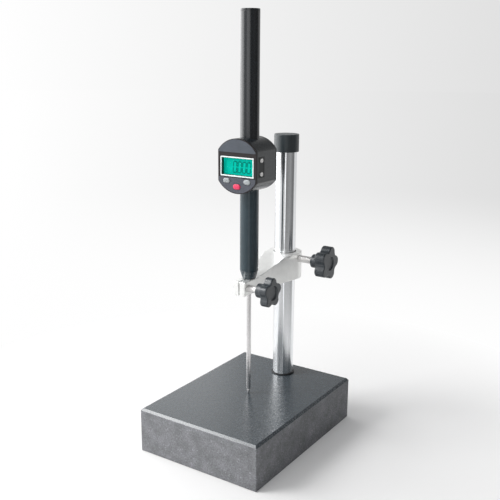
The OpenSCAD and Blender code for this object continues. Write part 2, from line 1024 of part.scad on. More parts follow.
module reading_head() {
    color(board_colour)
        at_stem()
            translate([-reader_width / 2, board_back + seat_clearance, reader_foot])
                cube([reader_width, reader_front - board_back - seat_clearance, reader_height]);
}

module button_pad() {
    sheet_back = board_front - seat_clearance;
    sheet_front = sheet_back - pad_sheet;
    sheet_top = -button_drop + button_height / 2;
    sheet_foot = -red_drop - dome_dia / 2;
    sheet_half = button_side + dome_dia / 2;
    color(grey_colour)
        at_head() {
            intersection() {
                translate([-sheet_half, sheet_front, sheet_foot])
                    cube([2 * sheet_half, pad_sheet, sheet_top - sheet_foot]);
                bar_y(head_r - case_wall - moving_gap, sheet_front - overcut, sheet_back + overcut);
            }
            for (side = [-1, 1])
                translate([side * button_side, 0, -button_drop])
                    bar_y(dome_dia / 2, dome_front, sheet_back);
            translate([0, 0, -red_drop])
                bar_y(dome_dia / 2, dome_front, sheet_back);
        }
}

module data_socket() {
    outer = head_width / 2 - case_wall - moving_gap;
    mouth = socket_size / 2;
    color(black_colour)
        at_head()
            difference() {
                translate([outer - socket_size, board_back + seat_clearance, -socket_height / 2])
                    cube([socket_size, socket_size, socket_height]);
                translate([outer - mouth, board_back + mouth / 2, overcut - socket_height / 2])
                    cube([socket_size, mouth, socket_height - 2 * overcut]);
            }
}

module port_cover() {
    x0 = port_floor + seat_clearance;
    color(black_colour)
        at_head()
            difference() {
                translate([
                    x0,
                    port_y - port_length / 2 + seat_clearance,
                    seat_clearance - port_height / 2
                ])
                    cube([
                        port_cover_thickness,
                        port_length - 2 * seat_clearance,
                        port_height - 2 * seat_clearance
                    ]);
                at_port_screws()
                    bar_x(screw_dia / 2 + seat_clearance, x0 - overcut, head_width / 2 + overcut);
            }
}

module port_screws() {
    seat = port_floor + 2 * seat_clearance + port_cover_thickness;
    color(silver_colour)
        at_head()
            at_port_screws()
                difference() {
                    union() {
                        bar_x(screw_dia / 2, port_floor + port_recess - case_wall, seat + overcut / 2);
                        bar_x(port_screw_dia / 2, seat, seat + screw_head_height);
                    }
                    bar_x(
                        screw_dia / 2,
                        seat + screw_head_height / 2,
                        seat + 2 * screw_head_height,
                        $fn = 6
                    );
                }
}

module cell_holder() {
    color(nylon_colour)
        at_head()
            difference() {
                bar_y(holder_dia / 2, holder_front, case_back);
                bar_y(cell_dia / 2 + seat_clearance, holder_front + holder_floor, case_back + overcut);
            }
}

module coin_cell() {
    color(steel_colour)
        at_head()
            bar_y(cell_dia / 2, cell_front, cell_back);
}

module battery_door() {
    color(case_colour)
        at_head()
            difference() {
                union() {
                    bar_y(door_dia / 2, case_back + seat_clearance, back_lag);
                    bar_y(cell_dia / 4, cell_back + seat_clearance, back_lag);
                }
                block_y(
                    coin_slot_length,
                    coin_slot_width,
                    back_lag - back_thickness / 2,
                    back_lag + overcut
                );
            }
}

// Return spring

spring_rings = 8;
spring_sides = 6;
spring_rise = spring_top - spring_foot - spring_wire;
spring_coil_r = (spring_dia - spring_wire) / 2;
spring_steps = spring_turns * spring_rings;

// Point of the wire's rim at a step along the coil
function wire_point(step, side) =
    let (
        turn = step * 360 / spring_rings,
        rim = side * 360 / spring_sides,
        r = spring_coil_r + spring_wire / 2 * cos(rim)
    )
    [
        r * cos(turn),
        r * sin(turn),
        spring_foot + spring_wire / 2 + spring_rise * step / spring_steps + spring_wire / 2 * sin(rim)
    ];

function wire_corner(step, side) = step * spring_sides + side % spring_sides;

module return_spring() {
    points = [
        for (step = [0 : spring_steps], side = [0 : spring_sides - 1])
            wire_point(step, side)
    ];
    walls = [
        for (step = [0 : spring_steps - 1], side = [0 : spring_sides - 1], half = [0, 1])
            half == 0
                ? [wire_corner(step, side), wire_corner(step + 1, side), wire_corner(step + 1, side + 1)]
                : [wire_corner(step, side), wire_corner(step + 1, side + 1), wire_corner(step, side + 1)]
    ];
    ends = [
        [for (side = [0 : spring_sides - 1]) wire_corner(0, side)],
        [for (side = [spring_sides - 1 : -1 : 0]) wire_corner(spring_steps, side)]
    ];
    color(steel_colour)
        translate([0, stem_y + spring_y, 0])
            polyhedron(points, concat(walls, ends));
}

// Buttons

module button(w, h) {
    oval_y(w, h, button_front, flange_back);
    rim = moving_gap + flange_rim;
    oval_y(w + 2 * rim, h + 2 * rim, flange_front, flange_back);
}

module left_button() {
    color(grey_colour)
        at_head()
            translate([-button_side, 0, -button_drop])
                button(button_width, button_height);
}

module right_button() {
    color(grey_colour)
        at_head()
            translate([button_side, 0, -button_drop])
                button(button_width, button_height);
}

module red_button() {
    color(red_colour)
        at_head()
            translate([0, 0, -red_drop])
                button(red_width, red_height);
}

// Spindle and what it carries

module spindle() {
    color(steel_colour)
        at_stem()
            difference() {
                post_z(spindle_dia / 2, spindle_foot, carriage_top);
                post_z(
                    contact_thread_dia / 2 + seat_clearance,
                    spindle_foot - overcut,
                    spindle_foot + contact_thread_length + overcut
                );
            }
}

module contact_point() {
    r = contact_dia / 2;
    color(steel_colour)
        at_stem() {
            translate([0, 0, contact_tip + r])
                sphere(r = r);
            post_z(r, contact_tip + r, spindle_foot - seat_clearance);
            post_z(contact_thread_dia / 2, contact_tip + r, spindle_foot + contact_thread_length);
        }
}

module stop_collar() {
    color(brass_colour)
        at_stem()
            flatted_ring(spindle_dia / 2 + seat_clearance, collar_foot, collar_foot + collar_height);
}

module scale_strip() {
    color(board_colour)
        at_stem()
            translate([-strip_width / 2, -strip_back - strip_thickness, strip_foot])
                cube([strip_width, strip_thickness, strip_top - strip_foot]);
}

module carriage() {
    slot_w = strip_width + 2 * seat_clearance;
    slot_t = strip_thickness + 2 * seat_clearance;
    color(nylon_colour)
        at_stem()
            difference() {
                post_z(tube_bore / 2 - run_clearance, carriage_foot, carriage_top);
                post_z(spindle_dia / 2 + seat_clearance, carriage_foot - overcut, carriage_top + overcut);
                translate([-slot_w / 2, seat_clearance - strip_back - slot_t, carriage_foot - overcut])
                    cube([slot_w, slot_t, strip_slot_depth + overcut + seat_clearance]);
                translate([0, 0, guide_pin_z])
                    bar_y(guide_pin_dia / 2 + seat_clearance, 0, tube_bore);
            }
}

module guide_pin() {
    color(steel_colour)
        at_stem()
            translate([0, 0, guide_pin_z])
                bar_y(guide_pin_dia / 2, guide_pin_root, guide_pin_end);
}

granite_base();
column_bolt();
bolt_washer();
seat_ring();
column();
column_cap();
column_sleeve();
arm();
front_stud();
front_knob();
rear_stud();
rear_pad();
rear_knob();
stem();
stem_bush();
bump_ring();
nose_cone();
lower_tube();
upper_tube();
tube_plug();
head_case();
face_panel();
back_cover();
back_screws();
display_frame();
display_window();
display_panel();
backlight();
main_board();
board_screws();
reading_head();
button_pad();
data_socket();
port_cover();
port_screws();
cell_holder();
coin_cell();
battery_door();
return_spring();
left_button();
right_button();
red_button();
spindle();
contact_point();
stop_collar();
scale_strip();
carriage();
guide_pin();
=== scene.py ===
"""Studio scene of a digital height gauge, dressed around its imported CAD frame.

Sizes in the classes are millimetres in the CAD frame: +Z is up, the display faces -Y, the column stands
towards +Y and the clamp knobs point to +X. Meshes are written in metres.
"""

import json
import logging
import math
from dataclasses import dataclass, replace
from enum import Enum
from typing import Any

import bmesh
import bpy
import numpy as np
from mathutils import Matrix, Vector
from mathutils.geometry import delaunay_2d_cdt


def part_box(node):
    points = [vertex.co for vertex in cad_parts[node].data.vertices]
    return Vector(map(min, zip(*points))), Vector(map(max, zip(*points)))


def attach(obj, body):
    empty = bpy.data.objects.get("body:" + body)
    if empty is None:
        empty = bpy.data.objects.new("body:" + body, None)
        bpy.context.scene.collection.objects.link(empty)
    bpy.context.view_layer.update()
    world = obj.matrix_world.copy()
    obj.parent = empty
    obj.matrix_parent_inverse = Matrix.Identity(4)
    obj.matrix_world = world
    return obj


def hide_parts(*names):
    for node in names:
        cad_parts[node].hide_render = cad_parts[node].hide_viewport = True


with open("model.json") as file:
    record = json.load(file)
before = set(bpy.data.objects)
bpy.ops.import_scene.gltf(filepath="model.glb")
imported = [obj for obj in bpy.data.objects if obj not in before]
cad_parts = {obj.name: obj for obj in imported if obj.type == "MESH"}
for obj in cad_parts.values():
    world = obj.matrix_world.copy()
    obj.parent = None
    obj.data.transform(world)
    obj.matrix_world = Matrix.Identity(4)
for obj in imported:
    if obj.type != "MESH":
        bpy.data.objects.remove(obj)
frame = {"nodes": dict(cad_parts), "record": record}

Array = np.ndarray
Pair = tuple[float, float]
Triple = tuple[float, float, float]
Edges = tuple[float, ...]
Colour = Triple
Socket = bpy.types.NodeSocket

LOG = logging.getLogger("height_gauge")
MM = 0.001
# Edges that turn further are drawn sharp, and faces that turn less are one flat
SHARP_ANGLE = math.radians(32)
FLAT_ANGLE = math.radians(0.6)
# Steps of an arc, and the distance of the points that hold the flats beside it
ROUND_STEPS = 5
HOLD = 0.12
# Points round a turned piece and round a small one
TURN_SEGMENTS = 144
SMALL_SEGMENTS = 48
# Gap between a piece and what it fits in
FIT = 0.05
# Radius of the rings that a fan closes, and of those in a small hollow
MIDDLE = 2.0
SMALL_MIDDLE = 1.0
# Sides shorter than this in metres and points closer than this in millimetres are one
SLIVER_M = 2e-6
SAME_PLACE = 1e-6
# Decimals of a millimetre that two points of a seam share
WELD_DIGITS = 5
# Least radius of a corner that tightens, and least cosine by which a corner's inset is divided
TIGHTEST = 0.1
MITRE = 0.5
# Kind of triangulation that keeps what lies inside the loops
INSIDE = 1
# Share of a mesh's box that its outline spans, and the steps of its rounded edges
WHOLE_SPAN = 0.99
BEVEL_STEPS = 4
# Grains across one patch of a finish's broad pattern, and how far its gloss varies
PATCH = 12
GLOSS_SPREAD = 0.15
# How much each finer layer of a noise weighs against the one before
LAYER_SHARE = 0.6
# Turn of a highlight from round a bar to along it
QUARTER_TURN = 0.25


class Facing(Enum):
    """Which way a piece's own +Z points in the CAD frame."""

    UP = ((1, 0, 0), (0, 1, 0), (0, 0, 1))
    RIGHT = ((0, 0, 1), (1, 0, 0), (0, 1, 0))
    FRONT = ((1, 0, 0), (0, 0, -1), (0, 1, 0))

    def turn(self, points: Array) -> Array:
        """Turn points from the piece's own axes into the CAD frame."""
        return points @ np.array(self.value, float).T


def unit(vectors: Array) -> Array:
    """Scale vectors on the last axis to length one."""
    return vectors / np.linalg.norm(vectors, axis=-1, keepdims=True)


def arcs(before: Array, corners: Array, after: Array, radii: Array, hold: float) -> Array:
    """Replace corners by arcs that touch both of their sides.

    An arc's centre lies on the corner's bisector at radius / sin(half angle). Its points turn evenly from
    one touching point to the other, and a holding point on each side keeps the flats flat in the shading.

    Args:
        before: Points ahead of the corners, one row each.
        corners: The corners.
        after: Points past the corners.
        radii: Radius at each corner.
        hold: Distance of the holding points from the arcs.

    Returns:
        The points of all the arcs in order, as rows of two numbers.
    """
    a, b = unit(before - corners), unit(after - corners)
    half = np.arccos(np.clip((a * b).sum(-1), -1, 1)) / 2
    trim = (radii / np.tan(half))[:, None]
    start, end = corners + a * trim, corners + b * trim
    centre = corners + unit(a + b) * (radii / np.sin(half))[:, None]
    sweep = (np.pi - 2 * half)[:, None, None]
    t = np.linspace(0, 1, ROUND_STEPS + 1)[None, :, None]
    turned = np.sin((1 - t) * sweep) * (start - centre)[:, None] + np.sin(t * sweep) * (end - centre)[:, None]
    arc = centre[:, None] + turned / np.sin(sweep)
    path = np.concatenate([(start + a * hold)[:, None], arc, (end + b * hold)[:, None]], 1)
    return path.reshape(-1, 2)


def rounded_profile(corners: list[Pair], radii: Edges | list[float], hold: float = HOLD) -> Array:
    """Round the inner corners of an open profile, and keep its two ends.

    Args:
        corners: Profile points as (radius, height) or (inset, height).
        radii: Radius at each corner between the two ends.
        hold: Distance of the holding points from the arcs.

    Returns:
        The rounded profile.
    """
    points = np.array(corners, float)
    inner = arcs(points[:-2], points[1:-1], points[2:], np.array(radii, float), hold)
    return np.concatenate([points[:1], inner, points[-1:]])


def rounded_outline(corners: list[Pair], radius: float, hold: float = HOLD) -> Array:
    """Round every corner of a closed outline.

    Args:
        corners: The corners in order.
        radius: Radius of all the corners.
        hold: Distance of the holding points from the arcs.

    Returns:
        The rounded outline.
    """
    points = np.array(corners, float)
    radii = np.full(len(points), radius)
    return arcs(np.roll(points, 1, 0), points, np.roll(points, -1, 0), radii, hold)


def rectangle(width: float, height: float, radius: float, centre: Pair = (0, 0)) -> Array:
    """Outline a rectangle with rounded corners.

    Args:
        width: Size to the right.
        height: Size upwards.
        radius: Radius of the corners.
        centre: Middle of the rectangle.

    Returns:
        The outline, counter-clockwise.
    """
    x, y = width / 2, height / 2
    corners = [(-x, -y), (x, -y), (x, y), (-x, y)]
    return rounded_outline(corners, radius) + np.array(centre, float)


def stadium(width: float, height: float, centre: Pair = (0, 0), steps: int = 20) -> Array:
    """Outline an oval with round ends: two half circles, set apart by width less height.

    Args:
        width: Size to the right.
        height: Size upwards.
        centre: Middle of the oval.
        steps: Points on each half circle.

    Returns:
        The outline, counter-clockwise.
    """
    turn = np.linspace(-np.pi / 2, np.pi / 2, steps)
    end = np.stack([np.cos(turn), np.sin(turn)], -1) * height / 2 + [(width - height) / 2, 0]
    return np.concatenate([end, -end]) + np.array(centre, float)


def circle(radius: float, centre: Pair = (0, 0), steps: int = TURN_SEGMENTS) -> Array:
    """Outline of a circle, counter-clockwise."""
    turn = np.linspace(0, 2 * np.pi, steps, endpoint=False)
    return np.stack([np.cos(turn), np.sin(turn)], -1) * radius + np.array(centre, float)


def flatted_circle(radius: float, half_width: float, low: float, high: float, steps: int = 64) -> Array:
    """Outline of a circle with two flat sides, kept between two levels.

    The right-hand side runs up from the low level to the high one at the circle's or the flat's distance,
    whichever is nearer, and the left-hand side mirrors it on the way down.

    Args:
        radius: Radius of the circle.
        half_width: Distance of the flats from the middle.
        low: Lowest level.
        high: Highest level.
        steps: Points on a quarter of the circle.

    Returns:
        The outline, counter-clockwise.
    """
    corner = math.sqrt(radius**2 - half_width**2)
    arc_levels = radius * np.sin(np.linspace(-np.pi / 2, np.pi / 2, 4 * steps))
    levels = np.concatenate([arc_levels, [-corner, corner, low, high]])
    levels = np.unique(np.round(levels[(levels >= low) & (levels <= high)], 6))
    reach = np.minimum(np.sqrt(np.maximum(radius**2 - levels**2, 0)), half_width)
    right = np.stack([reach, levels], -1)
    left = np.stack([-reach, levels], -1)[::-1]
    return np.concatenate([right, left[left[:, 0] < -SAME_PLACE]])


def star(dia: float, lobe: float, valley: float, count: int, turn: float, steps: int = 14) -> Array:
    """Outline of a star knob: round lobes and round valleys that run into each other.

    A lobe's circle and a valley's circle touch where the line between their centres crosses both, so one
    sector is a lobe arc followed by a valley arc, and the sector is turned to every lobe.

    Args:
        dia: Diameter over the lobes.
        lobe: Diameter of a lobe.
        valley: Diameter of a valley.
        count: Number of lobes.
        turn: Angle of the first lobe in radians.
        steps: Points on each arc.

    Returns:
        The closed outline, counter-clockwise.
    """
    half = np.pi / count
    place, span = (dia - lobe) / 2, (lobe + valley) / 2
    along = place * math.cos(half)
    reach = along + math.sqrt(along**2 + span**2 - place**2)
    valley_centre = reach * np.array([math.cos(half), math.sin(half)])
    lobe_centre = np.array([place, 0.0])
    tilt = math.atan2(*(valley_centre - lobe_centre)[::-1])
    lobe_turn = np.linspace(-tilt, tilt, steps, endpoint=False)
    valley_turn = np.linspace(np.pi + tilt, np.pi + 2 * half - tilt, steps, endpoint=False)
    crest = lobe_centre + lobe / 2 * np.stack([np.cos(lobe_turn), np.sin(lobe_turn)], -1)
    hollow = valley_centre + valley / 2 * np.stack([np.cos(valley_turn), np.sin(valley_turn)], -1)
    sector = np.concatenate([crest, hollow])
    angle = turn + 2 * half * np.arange(count)
    spin = np.array([[np.cos(angle), -np.sin(angle)], [np.sin(angle), np.cos(angle)]]).transpose(2, 0, 1)
    return np.einsum("kij,pj->kpi", spin, sector).reshape(-1, 2)


def inset(outline: Array, distance: float) -> Array:
    """Move an outline inwards along the normals of its corners.

    Args:
        outline: The outline, counter-clockwise.
        distance: How far its sides move; a negative distance moves them outwards.

    Returns:
        The moved outline, with as many points.
    """
    step_in, step_out = unit(outline - np.roll(outline, 1, 0)), unit(np.roll(outline, -1, 0) - outline)
    along = unit(step_in + step_out)
    normal = np.stack([-along[:, 1], along[:, 0]], -1)
    stretch = 1 / np.maximum((along * step_in).sum(-1, keepdims=True), MITRE)
    return outline + normal * distance * stretch


def enclosed(points: Array, loop: Array) -> Array:
    """Find the points inside a loop, from where a level line to the right crosses it an odd number of times.

    Args:
        points: Points to test.
        loop: The loop's corners in order.

    Returns:
        1 for each point inside and 0 for each point outside.
    """
    a, b = loop, np.roll(loop, -1, 0)
    across = (a[:, 1] > points[:, 1:]) != (b[:, 1] > points[:, 1:])
    rise = np.where(b[:, 1] == a[:, 1], 1.0, b[:, 1] - a[:, 1])
    hit = a[:, 0] + (b[:, 0] - a[:, 0]) * (points[:, 1:] - a[:, 1]) / rise
    return (across & (hit > points[:, :1])).sum(1) % 2


def rings_at(outlines: list[Array], levels: Array | Edges) -> Array:
    """Stack outlines with equal numbers of points.

    Args:
        outlines: The outlines.
        levels: Level of each outline.

    Returns:
        Rings of points with three coordinates.
    """
    flat = np.stack(outlines)
    height = np.broadcast_to(np.asarray(levels, float)[:, None, None], (*flat.shape[:2], 1))
    return np.concatenate([flat, height], -1)


def edge_rings(outline: Array, profile: Array) -> Array:
    """Carry an edge profile of (inset, level) points round an outline."""
    return rings_at([inset(outline, distance) for distance in profile[:, 0]], profile[:, 1])


def rectangle_rings(width: float, height: float, radius: float, profile: Array) -> Array:
    """Carry an edge profile of (inset, level) points round a rectangle, whose corners tighten inwards."""
    outlines = [rectangle(width - 2 * d, height - 2 * d, max(radius - d, TIGHTEST)) for d in profile[:, 0]]
    return rings_at(outlines, profile[:, 1])


def lathe(profile: Array, segments: int = TURN_SEGMENTS) -> Array:
    """Rings of a turned shape: each (radius, level) point of the profile goes once round +Z."""
    return rings_at([circle(radius, steps=segments) for radius in profile[:, 0]], profile[:, 1])


def bearing_rings(bearing: Array, profile: Array, axis: Array | float = 0.0) -> Array:
    """Carry a profile of (radius, level) points round an axis, on the bearings of another outline."""
    return rings_at([axis + bearing * radius for radius in profile[:, 0]], profile[:, 1])


@dataclass
class Surface:
    """Points in millimetres with their four-sided and three-sided faces, which point outwards."""

    points: Array
    quads: Array
    triangles: Array

    @classmethod
    def skin(
        cls, rings: Array, close_start: bool = True, close_end: bool = True, loop: bool = False
    ) -> "Surface":
        """Skin a stack of closed rings.

        Quads join point j of ring i to point j + 1 and to ring i + 1. A closed end is a fan from the ring to
        its middle, and a loop joins the last ring to the first one.

        Args:
            rings: Array of rings, points and coordinates.
            close_start: Whether the first ring gets a fan.
            close_end: Whether the last ring gets a fan.
            loop: Whether the last ring is joined to the first one.

        Returns:
            The surface.
        """
        count, size = rings.shape[:2]
        index = np.arange(count * size).reshape(count, size)
        low, high = (index, np.roll(index, -1, 0)) if loop else (index[:-1], index[1:])
        quads = np.stack([low, np.roll(low, -1, 1), np.roll(high, -1, 1), high], -1).reshape(-1, 4)
        points, fans = [rings.reshape(-1, 3)], []
        for ring, wanted, order in ((index[0], close_start, 1), (index[-1], close_end, -1)):
            if wanted and not loop:
                middle = np.full(size, sum(len(p) for p in points))
                points.append(points[0][ring].mean(0, keepdims=True))
                fans.append(np.stack([middle, np.roll(ring, -1), ring], -1)[:, ::order])
        triangles = np.concatenate(fans) if fans else np.zeros((0, 3), int)
        return cls(np.concatenate(points), quads, triangles)

    @classmethod
    def pierced(cls, outline: Array, holes: list[Array], low: float, high: float, edge: float) -> "Surface":
        """Make a plate with holes, whose upper edges are rounded.

        The walls are edge profiles carried round the outline and the holes. The two faces are filled by a
        constrained triangulation of the loops that the walls end on.

        Args:
            outline: Outer outline, counter-clockwise.
            holes: Outlines of the holes, counter-clockwise.
            low: Level of the lower face.
            high: Level of the upper face.
            edge: Radius of the upper edges.

        Returns:
            The closed plate.
        """
        profile = rounded_profile([(0, low), (0, high), (edge * 2, high)], [edge], edge / 4)[:-1]
        loops = [outline, *(hole[::-1] for hole in holes)]
        walls = [cls.skin(edge_rings(loop, profile), False, False) for loop in loops]
        faces = []
        for level, distance, order in ((low, 0.0, -1), (high, profile[-1, 0], 1)):
            ends = [inset(loop, distance) for loop in loops]
            faces.append(cls.filled(ends, level, order))
        return walls[0].joined(*walls[1:], *faces)

    @classmethod
    def filled(cls, loops: list[Array], level: float, order: int) -> "Surface":
        """Fill the area between an outer loop and the loops inside it with triangles at one level.

        The loops are triangulated together, and a triangle stays if its middle lies inside an odd number
        of them.

        Args:
            loops: The outer loop and the loops inside it.
            level: Level of the area.
            order: 1 if the triangles face up, or -1 if they face down.

        Returns:
            The flat surface.
        """
        points = np.concatenate(loops)
        firsts = np.cumsum([0, *(len(loop) for loop in loops[:-1])])
        starts = [first + np.arange(len(loop)) for first, loop in zip(firsts, loops)]
        edges = np.concatenate([np.stack([start, np.roll(start, -1)], -1) for start in starts])
        result = delaunay_2d_cdt(points.tolist(), edges.tolist(), [], INSIDE, SAME_PLACE)
        flat = np.array([tuple(p) for p in result[0]])
        triangles = np.array(result[2], int)
        middles = flat[triangles].mean(1)
        triangles = triangles[sum(enclosed(middles, loop) for loop in loops) % 2 == 1]
        a, b, c = (flat[triangles[:, k]] for k in range(3))
        area = (b - a)[:, 0] * (c - a)[:, 1] - (b - a)[:, 1] * (c - a)[:, 0]
        triangles = np.where((area * order < 0)[:, None], triangles[:, ::-1], triangles)
        solid = np.column_stack([flat, np.full(len(flat), level)])
        return cls(solid, np.zeros((0, 4), int), triangles)

    def joined(self, *others: "Surface") -> "Surface":
        """Put several surfaces into one.

        Args:
            *others: Surfaces to put with this one.

        Returns:
            The common surface.
        """
        parts = [self, *others]
        firsts = np.cumsum([0, *(len(part.points) for part in parts[:-1])])
        return Surface(
            np.concatenate([part.points for part in parts]),
            np.concatenate([part.quads + first for part, first in zip(parts, firsts)]),
            np.concatenate([part.triangles + first for part, first in zip(parts, firsts)]),
        )

    def placed(self, facing: Facing, origin: Array) -> "Surface":
        """Turn the surface into the CAD frame and move it to its place."""
        return Surface(facing.turn(self.points) + np.asarray(origin, float), self.quads, self.triangles)

    def mesh(self, name: str) -> bpy.types.Mesh:
        """Weld the surface's seams and write it as a mesh, smooth but for its sharp edges.

        Args:
            name: Name of the mesh.

        Returns:
            The mesh, in metres.
        """
        keys = np.round(self.points, WELD_DIGITS)
        _, first, back = np.unique(keys, axis=0, return_index=True, return_inverse=True)
        back = back.reshape(-1)
        faces = back[self.quads].tolist() + back[self.triangles].tolist()
        mesh = bpy.data.meshes.new(name)
        mesh.from_pydata((self.points[first] * MM).tolist(), [], faces)
        mesh.validate()
        mesh.polygons.foreach_set("use_smooth", np.ones(len(mesh.polygons), bool))
        mesh.set_sharp_from_angle(angle=SHARP_ANGLE)
        return mesh


@dataclass(frozen=True)
class NodeBox:
    """Lowest and highest corner of a CAD node, in millimetres."""

    low: Triple
    high: Triple

    @classmethod
    def of(cls, node: str) -> "NodeBox":
        """Read a node's box from the frame."""
        low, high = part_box(node)
        return cls(tuple(np.array(low) / MM), tuple(np.array(high) / MM))

    @property
    def centre(self) -> Array:
        """Middle of the box."""
        return (np.array(self.low) + np.array(self.high)) / 2

    @property
    def size(self) -> Array:
        """Extents of the box."""
        return np.array(self.high) - np.array(self.low)


class Graph:
    """Node tree of one material, or of the world, while it is being wired."""

    def __init__(self, owner: bpy.types.Material | bpy.types.World) -> None:
        """Start from the nodes that a new owner has, such as a material's Principled shader.

        Args:
            owner: Material or world that the tree belongs to.
        """
        owner.use_nodes = True
        self.owner = owner
        self.tree = owner.node_tree
        self.shader = self.tree.nodes.get("Principled BSDF")

    def node(self, kind: str, inputs: dict[Any, Any], **settings: Any) -> bpy.types.Node:
        """Add a node.

        Args:
            kind: Blender's name of the node type.
            inputs: Socket values by name or number; another node's socket is linked.
            **settings: Attributes of the node.

        Returns:
            The node.
        """
        node = self.tree.nodes.new(kind)
        for key, value in settings.items():
            setattr(node, key, value)
        for key, value in inputs.items():
            if isinstance(value, Socket):
                self.tree.links.new(value, node.inputs[key])
            else:
                node.inputs[key].default_value = value
        return node

    def place(self) -> Socket:
        """Object coordinates, in metres."""
        return self.node("ShaderNodeTexCoord", {}).outputs["Object"]

    def noise(self, scale: float, detail: float = 3.0, stretch: Triple = (1, 1, 1)) -> Socket:
        """Lay a noise over the object.

        Args:
            scale: Grains a metre.
            detail: Layers of finer noise.
            stretch: Scale along each axis.

        Returns:
            The noise's value.
        """
        mapped = self.node("ShaderNodeMapping", {"Vector": self.place(), "Scale": stretch})
        inputs = {"Vector": mapped.outputs[0], "Scale": scale, "Detail": detail, "Roughness": LAYER_SHARE}
        return self.node("ShaderNodeTexNoise", inputs).outputs[0]

    def reckon(self, operation: str, a: Any, b: Any) -> Socket:
        """Work out a sum, a product or the like of two numbers or sockets."""
        return self.node("ShaderNodeMath", {0: a, 1: b}, operation=operation).outputs[0]

    def spread(
        self, source: Socket, low: float, high: float, a: float = 0.3, b: float = 0.7,
        kind: str = "LINEAR",
    ) -> Socket:
        """Map a pattern's range from a to b onto the range from low to high."""
        inputs = {"Value": source, "From Min": a, "From Max": b, "To Min": low, "To Max": high}
        return self.node("ShaderNodeMapRange", inputs, interpolation_type=kind).outputs[0]

    def blend(self, share: Socket, a: Any, b: Any) -> Socket:
        """Blend two numbers or sockets by a pattern."""
        return self.node("ShaderNodeMix", {"Factor": share, 2: a, 3: b}).outputs[0]

    def tint(self, share: Socket, dark: Any, light: Any) -> Socket:
        """Blend two colours by a pattern.

        Args:
            share: Share of the light colour.
            dark: Colour or socket where the share is nought.
            light: Colour or socket where the share is one.

        Returns:
            The blended colour.
        """
        ends = [end if isinstance(end, Socket) else (*end, 1) for end in (dark, light)]
        inputs = {"Factor": share, 6: ends[0], 7: ends[1]}
        return self.node("ShaderNodeMix", inputs, data_type="RGBA").outputs[2]

    def seen(self) -> Socket:
        """Tell rays that show a thing from those that only light the scene.

        Returns:
            One for camera, glossy and transmission rays, and nought for the others.
        """
        path = self.node("ShaderNodeLightPath", {})
        mirrored = self.reckon("MAXIMUM", path.outputs["Is Glossy Ray"], path.outputs["Is Transmission Ray"])
        return self.reckon("MAXIMUM", path.outputs["Is Camera Ray"], mirrored)

    def across(self, place: Socket, axis: Triple) -> Socket:
        """How far a place lies along an axis."""
        inputs = {0: place, 1: axis}
        return self.node("ShaderNodeVectorMath", inputs, operation="DOT_PRODUCT").outputs["Value"]

    def relief(self, height: Socket, depth_mm: float) -> None:
        """Give the shader a bump of so many millimetres."""
        inputs = {"Height": height, "Distance": depth_mm * MM, "Strength": 1.0}
        self.link(self.node("ShaderNodeBump", inputs).outputs[0], "Normal")

    def link(self, source: Socket, socket: str) -> None:
        """Link a pattern to one of the shader's sockets."""
        self.tree.links.new(source, self.shader.inputs[socket])

    def set(self, **values: Any) -> None:
        """Set the shader's own sockets, with underscores for the spaces in their names."""
        for key, value in values.items():
            self.shader.inputs[key.replace("_", " ")].default_value = value


def scaled(colour: Colour, share: float) -> Colour:
    """Make a colour darker or lighter."""
    return tuple(min(1.0, c * share) for c in colour)


@dataclass(frozen=True)
class Finish:
    """A finish whose colour, gloss and fine relief vary a little over the surface."""

    slot: str
    colour: Colour
    roughness: float
    metallic: float = 0.0
    specular: float = 0.5
    drawn_out: float = 0.0
    tone: float = 0.08
    grain: float = 900.0
    relief: float = 0.004
    stretch: Triple = (1, 1, 1)

    def shade(self, graph: Graph) -> None:
        """Wire the finish: a broad pattern tints it, and a fine grain moves its gloss and relief.

        On an upright bar that was ground round its axis, highlights are drawn out up and down.

        Args:
            graph: Tree of the finish's material.
        """
        broad = graph.spread(graph.noise(self.grain / PATCH, 2.0), 0.0, 1.0)
        dark, light = scaled(self.colour, 1 - self.tone), scaled(self.colour, 1 + self.tone)
        graph.link(graph.tint(broad, dark, light), "Base Color")
        fine = graph.noise(self.grain, 3.0, self.stretch)
        low, high = self.roughness * (1 - GLOSS_SPREAD), self.roughness * (1 + GLOSS_SPREAD)
        graph.link(graph.spread(fine, low, high), "Roughness")
        graph.relief(fine, self.relief)
        graph.set(Metallic=self.metallic, Specular_IOR_Level=self.specular)
        if self.drawn_out:
            graph.set(Anisotropic=self.drawn_out, Anisotropic_Rotation=QUARTER_TURN)

    def material(self) -> bpy.types.Material:
        """Make the finish's material, or find it if it was made before.

        Returns:
            The material, named after the slot and the colour.
        """
        shade = "".join(f"{round(255 * c ** 0.45):02x}" for c in self.colour)
        name = f"{self.slot}_{shade}"
        found = bpy.data.materials.get(name)
        if found is None:
            found = bpy.data.materials.new(name)
            self.shade(Graph(found))
        return found


